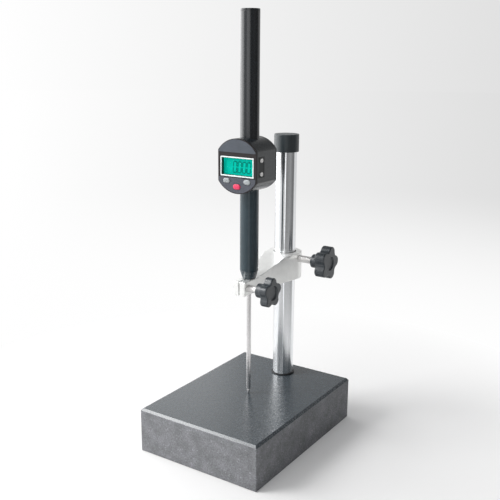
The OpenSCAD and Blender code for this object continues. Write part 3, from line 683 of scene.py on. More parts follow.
@dataclass(frozen=True)
class Granite(Finish):
    """Ground granite: dark grains and pale flecks, with a polished top and matt sides."""

    side: Colour = (0.172, 0.176, 0.187)
    side_roughness: float = 0.7
    top_level: float = 47.6
    fleck: Colour = (0.5, 0.51, 0.53)
    fleck_share: float = 0.26
    fleck_limits: Pair = (0.84, 0.9)
    top_contrast: Pair = (0.55, 1.4)
    side_contrast: Pair = (0.62, 1.34)
    cloud_contrast: Pair = (0.72, 1.28)
    polish_contrast: Pair = (0.87, 1.14)
    fine_share: float = 0.45
    cell_share: float = 0.6
    cloud_share: float = 0.05

    def shade(self, graph: Graph) -> None:
        """Wire the stone: noise gives its grains, and cells above a limit give its flecks.

        The top is told from the sides by its level in the object's own coordinates. Flecks, clouds and
        relief are left off the top.

        Args:
            graph: Tree of the stone's material.
        """
        level = graph.node("ShaderNodeSeparateXYZ", {0: graph.place()}).outputs[2]
        top = graph.reckon("GREATER_THAN", level, self.top_level * MM)
        side_only = graph.reckon("SUBTRACT", 1.0, top)
        grains = graph.spread(graph.noise(self.grain * self.fine_share, 5.0), 0.0, 1.0)
        cloud = graph.spread(graph.noise(self.grain * self.cloud_share, 7.0), *self.cloud_contrast)
        inputs = {"Vector": graph.place(), "Scale": self.grain * self.cell_share}
        cells = graph.node("ShaderNodeTexVoronoi", inputs).outputs["Color"]
        bright = graph.spread(cells, 0.0, self.fleck_share, *self.fleck_limits)
        flecks = graph.reckon("MULTIPLY", bright, side_only)
        top_stone = graph.tint(grains, *(scaled(self.colour, share) for share in self.top_contrast))
        side_stone = graph.tint(grains, *(scaled(self.side, share) for share in self.side_contrast))
        speckled = graph.tint(flecks, graph.tint(top, side_stone, top_stone), self.fleck)
        inputs = {0: speckled, 1: graph.blend(top, cloud, 1.0)}
        clouded = graph.node("ShaderNodeVectorMath", inputs, operation="MULTIPLY")
        graph.link(clouded.outputs[0], "Base Color")
        polish = graph.spread(grains, *(self.roughness * share for share in self.polish_contrast), 0.0, 1.0)
        graph.link(graph.blend(top, self.side_roughness, polish), "Roughness")
        graph.relief(graph.reckon("MULTIPLY", grains, side_only), self.relief)
        graph.set(Specular_IOR_Level=self.specular)


@dataclass(frozen=True)
class Lit(Finish):
    """A finish that also glows evenly, as a lit display does."""

    glow: float = 0.3

    def shade(self, graph: Graph) -> None:
        """Wire the plain finish and set its glow."""
        super().shade(graph)
        graph.set(Emission_Color=(*self.colour, 1), Emission_Strength=self.glow)


@dataclass(frozen=True)
class Clear(Finish):
    """A thin clear sheet that mostly lets through what lies behind it."""

    opacity: float = 0.1

    def shade(self, graph: Graph) -> None:
        """Wire the plain finish and set how much of it shows."""
        super().shade(graph)
        graph.set(Alpha=self.opacity)


GRANITE = Granite("granite", (0.04, 0.052, 0.062), 0.27, specular=0.66, grain=1400.0, relief=0.05)
CHROME = Finish(
    "chrome", (0.85, 0.865, 0.885), 0.16, metallic=1.0, drawn_out=1.0,
    tone=0.02, relief=0.0005, stretch=(1, 1, 0.04),
)
STEEL = Finish(
    "steel", (0.74, 0.73, 0.735), 0.24, metallic=1.0, tone=0.05, relief=0.001, stretch=(0.1, 0.1, 3.0)
)
STUD = Finish("stud_steel", (0.86, 0.85, 0.84), 0.5, metallic=0.8, tone=0.05, relief=0.001)
SEAT_RUBBER = Finish("seat_rubber", (0.012, 0.012, 0.013), 0.55)
CAP = Finish("cap_plastic", (0.014, 0.023, 0.028), 0.42, specular=0.8, grain=1500.0, relief=0.006)
NYLON = Finish("sleeve_nylon", (0.05, 0.05, 0.052), 0.5)
ARM = Finish("arm_aluminium", (0.93, 0.935, 0.92), 0.4, metallic=0.75, tone=0.04, grain=1600.0, relief=0.006)
KNOB = Finish("knob_plastic", (0.033, 0.04, 0.047), 0.4, specular=0.75, grain=1300.0, relief=0.008)
BRASS = Finish("brass", (0.65, 0.44, 0.16), 0.3, metallic=1.0)
TUBE = Finish(
    "tube_black", (0.007, 0.0095, 0.012), 0.22, specular=0.65, grain=1800.0, relief=0.001, stretch=(1, 1, 0.3)
)
# The tubes' black paint made lighter for the lower tube and the nose: a painted reflection of the bright
# floor, not a different paint
TUBE_WITH_PAINTED_SHEEN = replace(TUBE, colour=(0.025, 0.044, 0.055), specular=0.6)
CASE = Finish("case_black", (0.02, 0.0245, 0.028), 0.25, specular=0.8, grain=1700.0, relief=0.006)
FACE = Finish("face_grey", (0.013, 0.0095, 0.0105), 0.42, specular=0.35, grain=1500.0, relief=0.003)
FACE_PLATE = Finish("face_grey", (0.056, 0.066, 0.083), 0.4, grain=1500.0, relief=0.003)
KEY_PLATE = replace(FACE_PLATE, colour=(0.06, 0.066, 0.084))
FRAME = Finish("frame_white", (0.82, 0.88, 0.88), 0.22, tone=0.02, relief=0.001)
# Painted shade: dark green for the sheet on the display frame's inner walls, where the recess lies in shade
PAINTED_SHADE_LINER = Finish("face_grey", (0.006, 0.1, 0.08), 0.5, specular=0.2, relief=0.002)
WINDOW = Clear("window_clear", (0.01, 0.02, 0.02), 0.3, specular=0.1, tone=0.01, relief=0.0, opacity=0.03)
DISPLAY = Lit(
    "display_green", (0.0, 0.36, 0.275), 0.5, specular=0.02, tone=0.04, grain=500.0, relief=0.0, glow=0.6
)
SEGMENT = Lit("display_green", (0.0, 0.15, 0.115), 0.5, specular=0.02, tone=0.05, relief=0.0, glow=0.6)
BOARD = Finish("board_green", (0.02, 0.12, 0.05), 0.4)
PORT = Finish("port_plastic", (0.016, 0.018, 0.018), 0.45, grain=1700.0, relief=0.006)
CELL = Finish("cell_steel", (0.65, 0.65, 0.64), 0.25, metallic=1.0)
KEY_GREY = Finish("button_grey", (0.32, 0.345, 0.355), 0.38, tone=0.05, grain=1200.0, relief=0.004)
KEY_RED = Finish("button_red", (0.72, 0.035, 0.11), 0.35, tone=0.06, grain=1200.0, relief=0.004)

FINISHES: dict[str, Finish] = {
    finish.slot: finish
    for finish in (
        GRANITE, CHROME, STEEL, STUD, SEAT_RUBBER, CAP, NYLON, ARM, KNOB, BRASS, TUBE, CASE, FACE, FRAME,
        WINDOW, DISPLAY, BOARD, PORT, CELL, KEY_GREY, KEY_RED,
    )
}


def rows_of(items: Any, key: str, width: int, kind: type) -> Array:
    """Read a property of a mesh's points, edges or corners.

    Args:
        items: The points, edges, corners or attribute values.
        key: Name of the property.
        width: Numbers in one value.
        kind: Type of the numbers.

    Returns:
        One row for each item.
    """
    values = np.zeros(len(items) * width, kind)
    items.foreach_get(key, values)
    return values.reshape(-1, width)


def sharp_edges(mesh: bpy.types.Mesh) -> Array:
    """Give a mesh's sharp edges a weight of one and the others none."""
    return rows_of(mesh.attributes["sharp_edge"].data, "value", 1, bool)[:, 0].astype(np.float32)


def outline_edges(mesh: bpy.types.Mesh) -> Array:
    """Give the sharp edges that hang together over a mesh's whole box a weight of one.

    Every point starts with a label of its own. The two ends of a sharp edge take the lower label until no
    label changes, so that a label stands for one net of edges, whose box is then set against the mesh's.

    Args:
        mesh: Mesh with its sharp edges marked.

    Returns:
        A weight for each edge.
    """
    sharp = sharp_edges(mesh)
    ends = rows_of(mesh.edges, "vertices", 2, np.int32)
    points = rows_of(mesh.vertices, "co", 3, np.float32)
    linked, labels, settled = ends[sharp > 0], np.arange(len(points)), False
    while not settled:
        lower = labels.copy()
        np.minimum.at(lower, linked.ravel(), np.repeat(labels[linked].min(1), 2))
        settled, labels = bool((lower == labels).all()), lower
    lowest, highest = np.full_like(points, np.inf), np.full_like(points, -np.inf)
    np.minimum.at(lowest, labels, points)
    np.maximum.at(highest, labels, points)
    whole = (highest - lowest >= WHOLE_SPAN * np.ptp(points, axis=0)).all(1)
    return sharp * whole[labels[ends[:, 0]]]


def in_scene(name: str, data: bpy.types.ID) -> bpy.types.Object:
    """Make an object of a mesh, a lamp or a camera, and put it into the scene.

    Args:
        name: Name of the object.
        data: What it shows.

    Returns:
        The object.
    """
    thing = bpy.data.objects.new(name, data)
    bpy.context.scene.collection.objects.link(thing)
    return thing


@dataclass
class SubAssembly:
    """Pieces that ride on one body of the frame."""

    body: str

    def add(
        self, name: str, shape: Surface | bpy.types.Mesh, finish: Finish, *nodes: str
    ) -> bpy.types.Object:
        """Make a piece, dress it, and let it ride in place of CAD nodes.

        Args:
            name: Name of the piece.
            shape: Its surface in the CAD frame, or a finished mesh.
            finish: What it is made of.
            *nodes: CAD nodes that it stands for.

        Returns:
            The piece's object.
        """
        mesh = shape.mesh(name) if isinstance(shape, Surface) else shape
        piece = in_scene(name, mesh)
        mesh.materials.clear()
        mesh.materials.append(finish.material())
        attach(piece, self.body)
        if nodes:
            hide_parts(*nodes)
        LOG.info("%s: %d faces on %s", name, len(mesh.polygons), self.body)
        return piece

    def bevelled(
        self, name: str, node: str, finish: Finish, width: float, outline_only: bool = False
    ) -> bpy.types.Object:
        """Stand a copy of a CAD node with rounded edges in for the node.

        The copy's loose triangles are welded and its flat areas become single faces, so that a Bevel
        modifier finds only the true edges.

        Args:
            name: Name of the piece.
            node: CAD node to copy.
            finish: What it is made of.
            width: Width of the rounded edges in millimetres.
            outline_only: Leave the edges of bores and hollows sharp.

        Returns:
            The piece's object.
        """
        source = frame["nodes"][node].data
        points = rows_of(source.vertices, "co", 3, np.float32) / MM
        corners = rows_of(source.loops, "vertex_index", 1, np.int32).reshape(-1, 3)
        mesh = Surface(points, np.zeros((0, 4), int), corners).mesh(name)
        solid = bmesh.new()
        solid.from_mesh(mesh)
        bmesh.ops.dissolve_degenerate(solid, dist=SLIVER_M, edges=solid.edges)
        bmesh.ops.dissolve_limit(solid, angle_limit=FLAT_ANGLE, verts=solid.verts, edges=solid.edges)
        solid.to_mesh(mesh)
        solid.free()
        mesh.polygons.foreach_set("use_smooth", np.ones(len(mesh.polygons), bool))
        mesh.set_sharp_from_angle(angle=SHARP_ANGLE)
        weights = outline_edges(mesh) if outline_only else sharp_edges(mesh)
        mesh.attributes.new("bevel_weight_edge", "FLOAT", "EDGE").data.foreach_set("value", weights)
        piece = self.add(name, mesh, finish, node)
        bevel = piece.modifiers.new("edges", "BEVEL")
        bevel.width, bevel.segments, bevel.limit_method = width * MM, BEVEL_STEPS, "WEIGHT"
        bevel.harden_normals, bevel.use_clamp_overlap = True, True
        return piece

    def upright(
        self, name: str, profile: Array, finish: Finish, node: str, loop: bool = False,
        segments: int = TURN_SEGMENTS,
    ) -> bpy.types.Object:
        """Stand a turned piece in for a CAD node, on the node's own upright axis.

        Args:
            name: Name of the piece.
            profile: Points of (radius, level).
            finish: What it is made of.
            node: CAD node that it stands for.
            loop: Whether the profile is closed.
            segments: Points round the piece.

        Returns:
            The piece's object.
        """
        place = [*NodeBox.of(node).centre[:2], 0]
        shape = Surface.skin(lathe(profile, segments), loop=loop).placed(Facing.UP, place)
        return self.add(name, shape, finish, node)

    def turned(
        self, name: str, node: str, finish: Finish, edges: Pair, bore: float = 0.0
    ) -> bpy.types.Object:
        """Stand a turned bar or tube with rounded ends in for an upright round CAD node.

        A bar's profile runs out over the foot, up and in over the top. A tube's profile goes on down the
        bore, and its last ring is joined to the first one.

        Args:
            name: Name of the piece.
            node: CAD node whose box gives the bar's place and size.
            finish: What it is made of.
            edges: Radii of the lower and the upper edge.
            bore: Diameter of a tube's bore, or 0 for a bar.

        Returns:
            The piece's object.
        """
        box = NodeBox.of(node)
        radius, low, high = box.size[0] / 2, box.low[2], box.high[2]
        inner = bore / 2 if bore else radius / 3
        corners = [(inner, low), (radius, low), (radius, high), (inner, high)]
        profile = rounded_profile(corners, edges, min(edges) / 2)
        return self.upright(name, profile, finish, node, bore > 0)


@dataclass
class GraniteStand(SubAssembly):
    """The granite plate, the column that stands on it, and the column's ring and cap."""

    body: str = "stand"
    corner_radius: float = 1.2
    chamfer: float = 2.5
    foot_chamfer: float = 0.8
    edge_radius: float = 0.4
    recess_dia: float = 32.0
    recess_depth: float = 16.0
    face_run: float = 6.0
    column_edge: float = 0.6
    seat_edge: float = 0.35
    cap_edges: Edges = (0.3, 0.4, 0.4, 0.7)

    def build(self) -> None:
        """Build and dress the stand."""
        self.plate()
        self.turned("column_bar", "column", CHROME, (self.column_edge, self.column_edge))
        self.ring()
        self.cap()

    def plate(self) -> None:
        """Make the plate.

        Every ring runs round the column's axis: the recess's circles first, then rounded rectangles out
        over the underside, up the walls, in over the chamfer, and to the middle of the top.
        """
        box, axis = NodeBox.of("granite_base"), NodeBox.of("column").centre[:2]
        width, depth, high = box.size
        walls = rounded_profile(
            [
                (self.face_run, 0), (self.foot_chamfer, 0), (0, self.foot_chamfer),
                (0, high - self.chamfer), (self.chamfer, high), (self.chamfer + self.face_run, high),
            ],
            [self.edge_radius] * 4,
        )
        outline = rectangle(width, depth, self.corner_radius)
        sections = rectangle_rings(width, depth, self.corner_radius, walls)
        bearing = unit(outline - axis)
        recess, roof = self.recess_dia / 2, self.recess_depth
        lips = rounded_profile([(SMALL_MIDDLE, roof), (recess, roof), (recess, 0)], [self.edge_radius])
        hollow = bearing_rings(bearing, lips, axis)
        top = bearing_rings(bearing, np.array([(MIDDLE, high)]), axis)
        shape = Surface.skin(np.concatenate([hollow, sections, top]))
        self.add("granite_plate", shape, GRANITE, "granite_base")

    def ring(self) -> None:
        """Make the ring under the column: a small rounded section turned round its axis."""
        box, bolt = NodeBox.of("seat_ring"), NodeBox.of("column_bolt")
        outer, inner = box.size[0] / 2, bolt.size[0] / 3
        place = ((outer + inner) / 2, box.centre[2])
        section = rectangle(outer - inner, box.size[2], self.seat_edge, place)
        self.upright("column_seat", section, SEAT_RUBBER, "seat_ring", True)

    def cap(self) -> None:
        """Make the cap: a turned cup whose hollow fits over the column, with a rounded lip and top edge."""
        box, column = NodeBox.of("column_cap"), NodeBox.of("column")
        outer, inner = box.size[0] / 2, column.size[0] / 2 + FIT
        low, high, roof = box.low[2], box.high[2], column.high[2] + FIT
        corners = [(MIDDLE, roof), (inner, roof), (inner, low), (outer, low), (outer, high), (MIDDLE, high)]
        self.upright("column_top_cap", rounded_profile(corners, self.cap_edges), CAP, "column_cap")


@dataclass
class ClampArm(SubAssembly):
    """The split arm that slides on the column and clamps the indicator's stem."""

    body: str = "arm"
    edge: float = 0.6

    def build(self) -> None:
        """Build and dress the arm."""
        self.bevelled("clamp_arm", "arm", ARM, self.edge, True)


class Clamp(Enum):
    """The two clamp screws of the arm."""

    FRONT = "front"
    REAR = "rear"


@dataclass
class ClampScrew(SubAssembly):
    """A threaded stud and the star knob on it."""

    body: str
    side: Clamp
    lobe: float
    turn_deg: float
    dia: float
    hub_length: float
    valley: float = 11.0
    count: int = 5
    pitch: float = 1.25
    thread_depth: float = 0.5
    thread_end: float = 21.0
    thread_rows: int = 10
    shank_share: float = 0.3
    hub_dia: float = 15.5
    hub_gap: float = 0.6
    hub_edges: Edges = (0.2, 0.3, 0.9)
    lobe_edge: float = 1.3
    lobe_runs: Pair = (5.0, 3.2)
    hollow_dia: float = 16.0
    hollow_depth: float = 1.5
    hollow_slope: float = 0.8
    hollow_edge: float = 0.4
    hollow_run: float = 1.2
    bore_depth: float = 12.0

    def build(self) -> None:
        """Build and dress the stud and its knob."""
        self.stud()
        self.knob()

    def stud(self) -> None:
        """Make the stud.

        Its radius falls below the outside by half the thread's depth times 1 - cos of the angle round the
        axis less the advance in turns, so the crest winds along it as a helix. Past the thread's end the
        wave fades out, and a plain shank runs on to the knob.
        """
        node = f"{self.side.value}_stud"
        box = NodeBox.of(node)
        radius, length = box.size[1] / 2, box.size[0]
        along = np.linspace(0, length, int(length / self.pitch * self.thread_rows))[:, None]
        turn = np.linspace(0, 2 * np.pi, SMALL_SEGMENTS, endpoint=False)[None, :]
        wave = 0.5 - 0.5 * np.cos(2 * np.pi * along / self.pitch - turn)
        ends = np.clip(np.minimum(along, length - along) / self.thread_depth, 0, 1)
        plain = np.clip((along - self.thread_end) / self.pitch, 0, 1)
        r = radius - self.thread_depth * np.maximum(wave * (1 - plain) + self.shank_share * plain, 1 - ends)
        rings = np.stack([r * np.cos(turn), r * np.sin(turn), np.broadcast_to(along, r.shape)], -1)
        place = [box.low[0], box.centre[1], box.centre[2]]
        self.add(f"{node}_thread", Surface.skin(rings).placed(Facing.RIGHT, place), STUD, node)

    def knob(self) -> None:
        """Make the knob: a hub that swells into the lobes, with a hollow in its outer face.

        Every ring has as many points as the star outline. Round rings take their bearings from it, and the
        lobes' edges are the outline moved inwards along a quarter circle.
        """
        node = f"{self.side.value}_knob"
        box, stud = NodeBox.of(node), NodeBox.of(f"{self.side.value}_stud")
        outline = star(self.dia, self.lobe, self.valley, self.count, math.radians(self.turn_deg))
        bearing = unit(outline)
        face, back, roof = box.size[0], self.hub_length, self.bore_depth
        bore, hub, hollow = stud.size[1] / 2 + FIT, self.hub_dia / 2, self.hollow_dia / 2
        corners = [(SMALL_MIDDLE, roof), (bore, roof), (bore, 0), (hub, 0), (hub, back - self.hub_gap)]
        inner = rounded_profile(corners, self.hub_edges)
        corners = [(self.lobe_runs[0], back), (0, back), (0, face), (self.lobe_runs[1], face)]
        lobes = rounded_profile(corners, [self.lobe_edge] * 2)[1:-1]
        floor = face - self.hollow_depth
        rim, foot = hollow + self.hollow_run, hollow - self.hollow_slope
        corners = [(rim, face), (hollow, face), (foot, floor), (MIDDLE, floor)]
        mouth = rounded_profile(corners, [self.hollow_edge] * 2)
        rings = [bearing_rings(bearing, inner), edge_rings(outline, lobes), bearing_rings(bearing, mouth)]
        place = [box.low[0], stud.centre[1], stud.centre[2]]
        shape = Surface.skin(np.concatenate(rings)).placed(Facing.RIGHT, place)
        SubAssembly(node).add(f"{node}_star", shape, KNOB, node)


@dataclass
class IndicatorTubes(SubAssembly):
    """The nose cone, the two tubes and the top plug of the indicator."""

    body: str = "indicator"
    tube_bore: float = 16.0
    tube_edges: Pair = (0.25, 0.3)
    spigot_step: float = 2.2
    nose_dia: float = 14.5
    nose_edges: Edges = (0.3, 0.5, 0.4, 0.2)
    plug_edges: Edges = (0.4, 0.2, 0.2, 0.6)

    def build(self) -> None:
        """Build and dress the tubes."""
        # The lower tube is lighter by a painted reflection of the floor
        self.turned("lower_barrel", "lower_tube", TUBE_WITH_PAINTED_SHEEN, self.tube_edges, self.tube_bore)
        self.turned("upper_barrel", "upper_tube", TUBE, self.tube_edges[::-1], self.tube_bore)
        self.nose()
        self.plug()

    def nose(self) -> None:
        """Make the nose: a cone turned round the stem, with its bore and its spigot in the tube."""
        box, stem, tube = NodeBox.of("nose_cone"), NodeBox.of("stem"), NodeBox.of("lower_tube")
        bore, outer = stem.size[0] / 2 + FIT, box.size[0] / 2
        spigot = tube.size[0] / 2 - self.spigot_step
        low, shoulder, high = box.low[2], tube.low[2] - FIT, box.high[2]
        corners = [
            (bore, high), (bore, low), (self.nose_dia / 2, low), (outer, shoulder), (spigot, shoulder),
            (spigot, high),
        ]
        profile = rounded_profile(corners, self.nose_edges)
        # The nose takes the same painted reflection of the floor as the lower tube
        self.upright("nose_taper", profile, TUBE_WITH_PAINTED_SHEEN, "nose_cone", True)

    def plug(self) -> None:
        """Make the top plug: a rim as wide as the tube with a rounded edge, on a narrower spigot."""
        box, tube = NodeBox.of("tube_plug"), NodeBox.of("upper_tube")
        outer, low, seat, high = tube.size[0] / 2, box.low[2], tube.high[2] + FIT, box.high[2]
        spigot = outer - self.spigot_step
        corners = [(MIDDLE, low), (spigot, low), (spigot, seat), (outer, seat), (outer, high), (MIDDLE, high)]
        self.upright("barrel_plug", rounded_profile(corners, self.plug_edges), TUBE, "tube_plug")


@dataclass
class Head(SubAssembly):
    """The indicator's head: case, face, plates on the face, back and battery door."""

    body: str = "indicator"
    case_edge: float = 0.45
    face_edge: float = 0.4
    lid_edge: float = 0.25
    plate_rise: float = 0.22
    plate_sink: float = 0.1
    plate_edge: float = 0.12
    plate_margin: float = 0.9
    upper_line: float = 14.2
    key_line: float = -11.8
    key_room: float = 0.3

    def build(self) -> None:
        """Build and dress the head."""
        self.bevelled("head_shell", "head_case", CASE, self.case_edge, True)
        self.bevelled("face_sheet", "face_panel", FACE, self.face_edge)
        self.bevelled("back_sheet", "back_cover", CASE, self.face_edge, True)
        self.bevelled("battery_lid", "battery_door", CASE, self.lid_edge)
        self.plates()

    def plates(self) -> None:
        """Make the two thin plates on the face: the arc over the display and the field round the buttons."""
        box = NodeBox.of("face_panel")
        origin = [box.centre[0], box.low[1], box.centre[2]]
        radius, half = box.size[2] / 2 - self.plate_margin, box.size[0] / 2 - self.plate_margin
        arc = flatted_circle(radius, half, self.upper_line, radius)
        field = flatted_circle(radius, half, -radius, self.key_line)
        holes = []
        for node in ("left_button", "right_button", "red_button"):
            key = KeyButton.cap_box(node)
            place = (key.centre[0] - origin[0], key.centre[2] - origin[2])
            holes.append(stadium(key.size[0] + 2 * self.key_room, key.size[2] + 2 * self.key_room, place))
        for name, outline, cuts, finish in (
            ("face_arc_plate", arc, [], FACE_PLATE),
            ("face_key_plate", field, holes, KEY_PLATE),
        ):
            shape = Surface.pierced(outline, cuts, -self.plate_sink, self.plate_rise, self.plate_edge)
            self.add(name, shape.placed(Facing.FRONT, origin), finish)


@dataclass
class Display(SubAssembly):
    """The display: white frame, a dark sheet of painted shade on the frame's inner walls, lit panel and the
    figures on it.
    """

    body: str = "indicator"
    border: float = 1.3
    corner: float = 0.5
    front_edge: float = 0.35
    back_edge: float = 0.1
    # Thickness, top, slope and gap of the sheet of painted shade on the frame's inner walls
    shade_thickness: float = 0.22
    shade_top: float = -0.45
    shade_slope: float = 0.1
    shade_gap: float = 0.02
    panel_corner: float = 0.6
    panel_edge: float = 0.2
    panel_run: float = 3.0
    figure: str = "0.000"
    digit_height: float = 11.2
    digit_width: float = 4.1
    digit_pitch: float = 5.7
    stroke: float = 1.4
    bar_gap: float = 0.12
    point_corner: float = 0.2
    figure_levels: Pair = (-0.05, 0.04)
    slant: float = 0.08
    digit_drop: float = -0.7
    right_margin: float = 4.9

    def build(self) -> None:
        """Build and dress the display."""
        box, panel = NodeBox.of("display_frame"), NodeBox.of("display_panel")
        front, depth = [box.centre[0], box.low[1], box.centre[2]], box.size[1]
        self.frame(box, front, depth)
        # Painted shade on the frame's inner walls, where the recess is in shade
        self.painted_shade_sheet(box, front, depth)
        face = [panel.centre[0], panel.low[1], panel.centre[2]]
        self.panel(panel, face)
        self.figures(panel, face)

    def frame(self, box: NodeBox, front: list[float], depth: float) -> None:
        """Make the frame: a section with rounded front edges carried round a rectangle.

        Args:
            box: Box of the frame.
            front: Middle of the frame's front.
            depth: Depth of the frame.
        """
        b = self.border
        corners = [(b, -depth), (0, -depth), (0, 0), (b, 0), (b, -depth)]
        edges = [self.back_edge, self.front_edge, self.front_edge]
        section = rounded_profile(corners, edges, self.back_edge)[:-1]
        shape = Surface.skin(rectangle_rings(box.size[0], box.size[2], self.corner, section), loop=True)
        self.add("display_rim", shape.placed(Facing.FRONT, front), FRAME, "display_frame")

    def painted_shade_sheet(self, box: NodeBox, front: list[float], depth: float) -> None:
        """Make the painted shade on the frame's inner walls: a thin dark section carried round a rectangle,
        where the recess lies in shade.

        Args:
            box: Box of the frame.
            front: Middle of the frame's front.
            depth: Depth of the frame.
        """
        low, high, outer = FIT - depth, self.shade_top, self.border + self.shade_gap
        inner = outer + self.shade_thickness
        section = np.array([(inner, low), (outer, low), (outer, high), (inner, high - self.shade_slope)])
        shape = Surface.skin(rectangle_rings(box.size[0], box.size[2], self.corner, section), loop=True)
        # This sheet is painted shade, not a part of the display
        self.add("display_painted_shade", shape.placed(Facing.FRONT, front), PAINTED_SHADE_LINER)

    def panel(self, box: NodeBox, face: list[float]) -> None:
        """Make the panel: a slab with rounded edges.

        Args:
            box: Box of the panel.
            face: Middle of the panel's front.
        """
        run, back = self.panel_run, -box.size[1]
        profile = rounded_profile([(run, back), (0, back), (0, 0), (run, 0)], [self.panel_edge] * 2)
        shape = Surface.skin(rectangle_rings(box.size[0], box.size[2], self.panel_corner, profile))
        self.add("display_glass", shape.placed(Facing.FRONT, face), DISPLAY, "display_panel")

    def figures(self, box: NodeBox, face: list[float]) -> None:
        """Make the figures: each nought is six bars round an open middle, and the point is a square.

        A bar is a hexagon as long as its side of the digit, less a small gap, set upright or level at the
        side's middle. All points then lean sideways by the slant times their height.

        Args:
            box: Box of the panel.
            face: Middle of the panel's front.
        """
        w, h, s = self.digit_width, self.digit_height / 2, self.stroke
        sides = [(1, 1), (1, -1), (-1, -1), (-1, 1)]
        level = [self.bar(w) + [0, y] for y in (h, -h)]
        upright = [self.bar(h)[:, ::-1] * [-1, 1] + [x * w / 2, y * h / 2] for x, y in sides]
        nought = [level[0], *upright[:2], level[1], *upright[2:]]
        shown = self.figure.replace(".", "")
        right = box.size[0] / 2 - self.border - self.right_margin - w / 2
        bars = []
        for place in range(len(shown)):
            middle = right - self.digit_pitch * (len(shown) - 1 - place)
            bars += [bar + [middle, 0] for bar in nought]
        dot = right - self.digit_pitch * (len(shown) - self.figure.index(".")) + self.digit_pitch / 2
        bars.append(rectangle(s, s, self.point_corner, (dot, -h)))
        parts = []
        for bar in bars:
            leaning = bar + np.stack([bar[:, 1] * self.slant, np.full(len(bar), self.digit_drop)], -1)
            parts.append(Surface.skin(rings_at([leaning, leaning], self.figure_levels)))
        shape = parts[0].joined(*parts[1:])
        self.add("display_figures", shape.placed(Facing.FRONT, face), SEGMENT)

    def bar(self, length: float) -> Array:
        """Make a figure's level bar.

        Args:
            length: Length of the side that it stands for.

        Returns:
            A hexagon, pointed at both ends, shorter than its side by a gap.
        """
        end, half = length / 2 - self.bar_gap, self.stroke / 2
        flat = end - half
        return np.array([(-end, 0), (-flat, -half), (flat, -half), (end, 0), (flat, half), (-flat, half)])


@dataclass
class KeyButton(SubAssembly):
    """One press button: an oval cap with a crowned top."""

    body: str
    finish: Finish = KEY_GREY
    crown: float = 0.95
    shoulder: float = 1.5
    dome: float = 0.1
    dome_share: float = 0.4
    ridge: float = 0.25
    ledge_slope: float = 0.02
    flange: float = 0.9
    flange_height: float = 1.0
    flange_edges: Pair = (0.5, 0.1)

    @classmethod
    def cap_box(cls, node: str) -> NodeBox:
        """Box of a button's cap, which is its node's box less the flange behind the face.

        Args:
            node: The button's CAD node.

        Returns:
            The cap's box.
        """
        box = NodeBox.of(node)
        flange = np.array([cls.flange, 0, cls.flange])
        return NodeBox(tuple(box.low + flange), tuple(box.high - flange))

    def build(self) -> None:
        """Build and dress the button.

        The cap's oval moves in by shoulder * (1 - cos) while it rises by crown * sin of one quarter turn,
        and then runs in to the middle with a slight dome.
        """
        box = self.cap_box(self.body)
        high, rim, ledge = box.size[1], -self.flange, self.flange_height
        t = np.linspace(0, np.pi / 2, 9)
        rise = high - self.dome - self.crown + self.crown * np.sin(t)
        shoulder = np.stack([self.shoulder * (1 - np.cos(t)), rise], -1)
        run, edge = self.flange_edges
        slope = high - self.dome_share * self.dome
        dome = np.array([(self.shoulder + run, slope), (box.size[2] / 2 - self.ridge, high)])
        walls = [(rim + run, 0), (rim, edge), (rim, ledge - edge), (rim + run, ledge)]
        foot = np.array([*walls, (0, ledge + self.ledge_slope)])
        profile = np.concatenate([foot, shoulder, dome])
        outline = stadium(box.size[0], box.size[2])
        origin = [box.centre[0], box.high[1], box.centre[2]]
        shape = Surface.skin(edge_rings(outline, profile)).placed(Facing.FRONT, origin)
        self.add(f"{self.body}_cap", shape, self.finish, self.body)


@dataclass
class DataPort(SubAssembly):
    """The covered port on the head's side, with its two screws."""

    body: str = "indicator"
    lid_edge: float = 0.15
    head_height: float = 1.2
    shank_radius: float = 1.1
    hollow_share: float = 0.42
    hollow_depth: float = 0.5
    screw_middle: float = 0.3
    screw_edges: Edges = (0.1, 0.1, 0.1, 0.35, 0.12, 0.1)
    screw_hold: float = 0.04

    def build(self) -> None:
        """Build and dress the port."""
        self.bevelled("port_lid", "port_cover", PORT, self.lid_edge)
        self.screws()

    def screws(self) -> None:
        """Make the screws: turned heads with a rounded edge and a hollow in the middle."""
        box = NodeBox.of("port_screws")
        radius, high = box.size[1] / 2, box.size[0]
        seat, floor = high - self.head_height, high - self.hollow_depth
        shank, hollow, middle = self.shank_radius, radius * self.hollow_share, self.screw_middle
        corners = [
            (middle, 0), (shank, 0), (shank, seat), (radius, seat), (radius, high), (hollow, high),
            (hollow, floor), (middle, floor),
        ]
        profile = rounded_profile(corners, self.screw_edges, self.screw_hold)
        head = Surface.skin(lathe(profile, SMALL_SEGMENTS))
        low, top = box.low[2] + radius, box.high[2] - radius
        pair = [head.placed(Facing.RIGHT, [box.low[0], box.centre[1], level]) for level in (low, top)]
        self.add("port_screw_pair", pair[0].joined(pair[1]), STUD, "port_screws")


@dataclass
class MeasuringSpindle(SubAssembly):
    """The spindle and the contact point at its lower end."""

    body: str = "spindle"
    rod_edges: Pair = (0.5, 0.3)
    neck: float = 0.4
    taper: float = 0.2
    thread_radius: float = 1.1
    thread_tip: float = 0.4
    first_turn: float = 0.08

    def build(self) -> None:
        """Build and dress the spindle."""
        self.turned("spindle_rod", "spindle", STEEL, self.rod_edges)
        self.contact()

    def contact(self) -> None:
        """Make the contact point: a turned pin whose lower end is half a ball."""
        box, rod = NodeBox.of("contact_point"), NodeBox.of("spindle")
        radius, low, high, neck = box.size[0] / 2, box.low[2], box.high[2], rod.low[2] - FIT
        t = np.linspace(self.first_turn, np.pi / 2, 12)
        ball = np.stack([radius * np.sin(t), low + radius - radius * np.cos(t)], -1)
        thread = [
            (radius, neck - self.neck), (radius - self.taper, neck), (self.thread_radius, neck),
            (self.thread_radius, high - self.taper), (self.thread_tip, high),
        ]
        profile = np.concatenate([ball, np.array(thread)])
        self.upright("contact_tip", profile, STEEL, "contact_point", segments=SMALL_SEGMENTS)


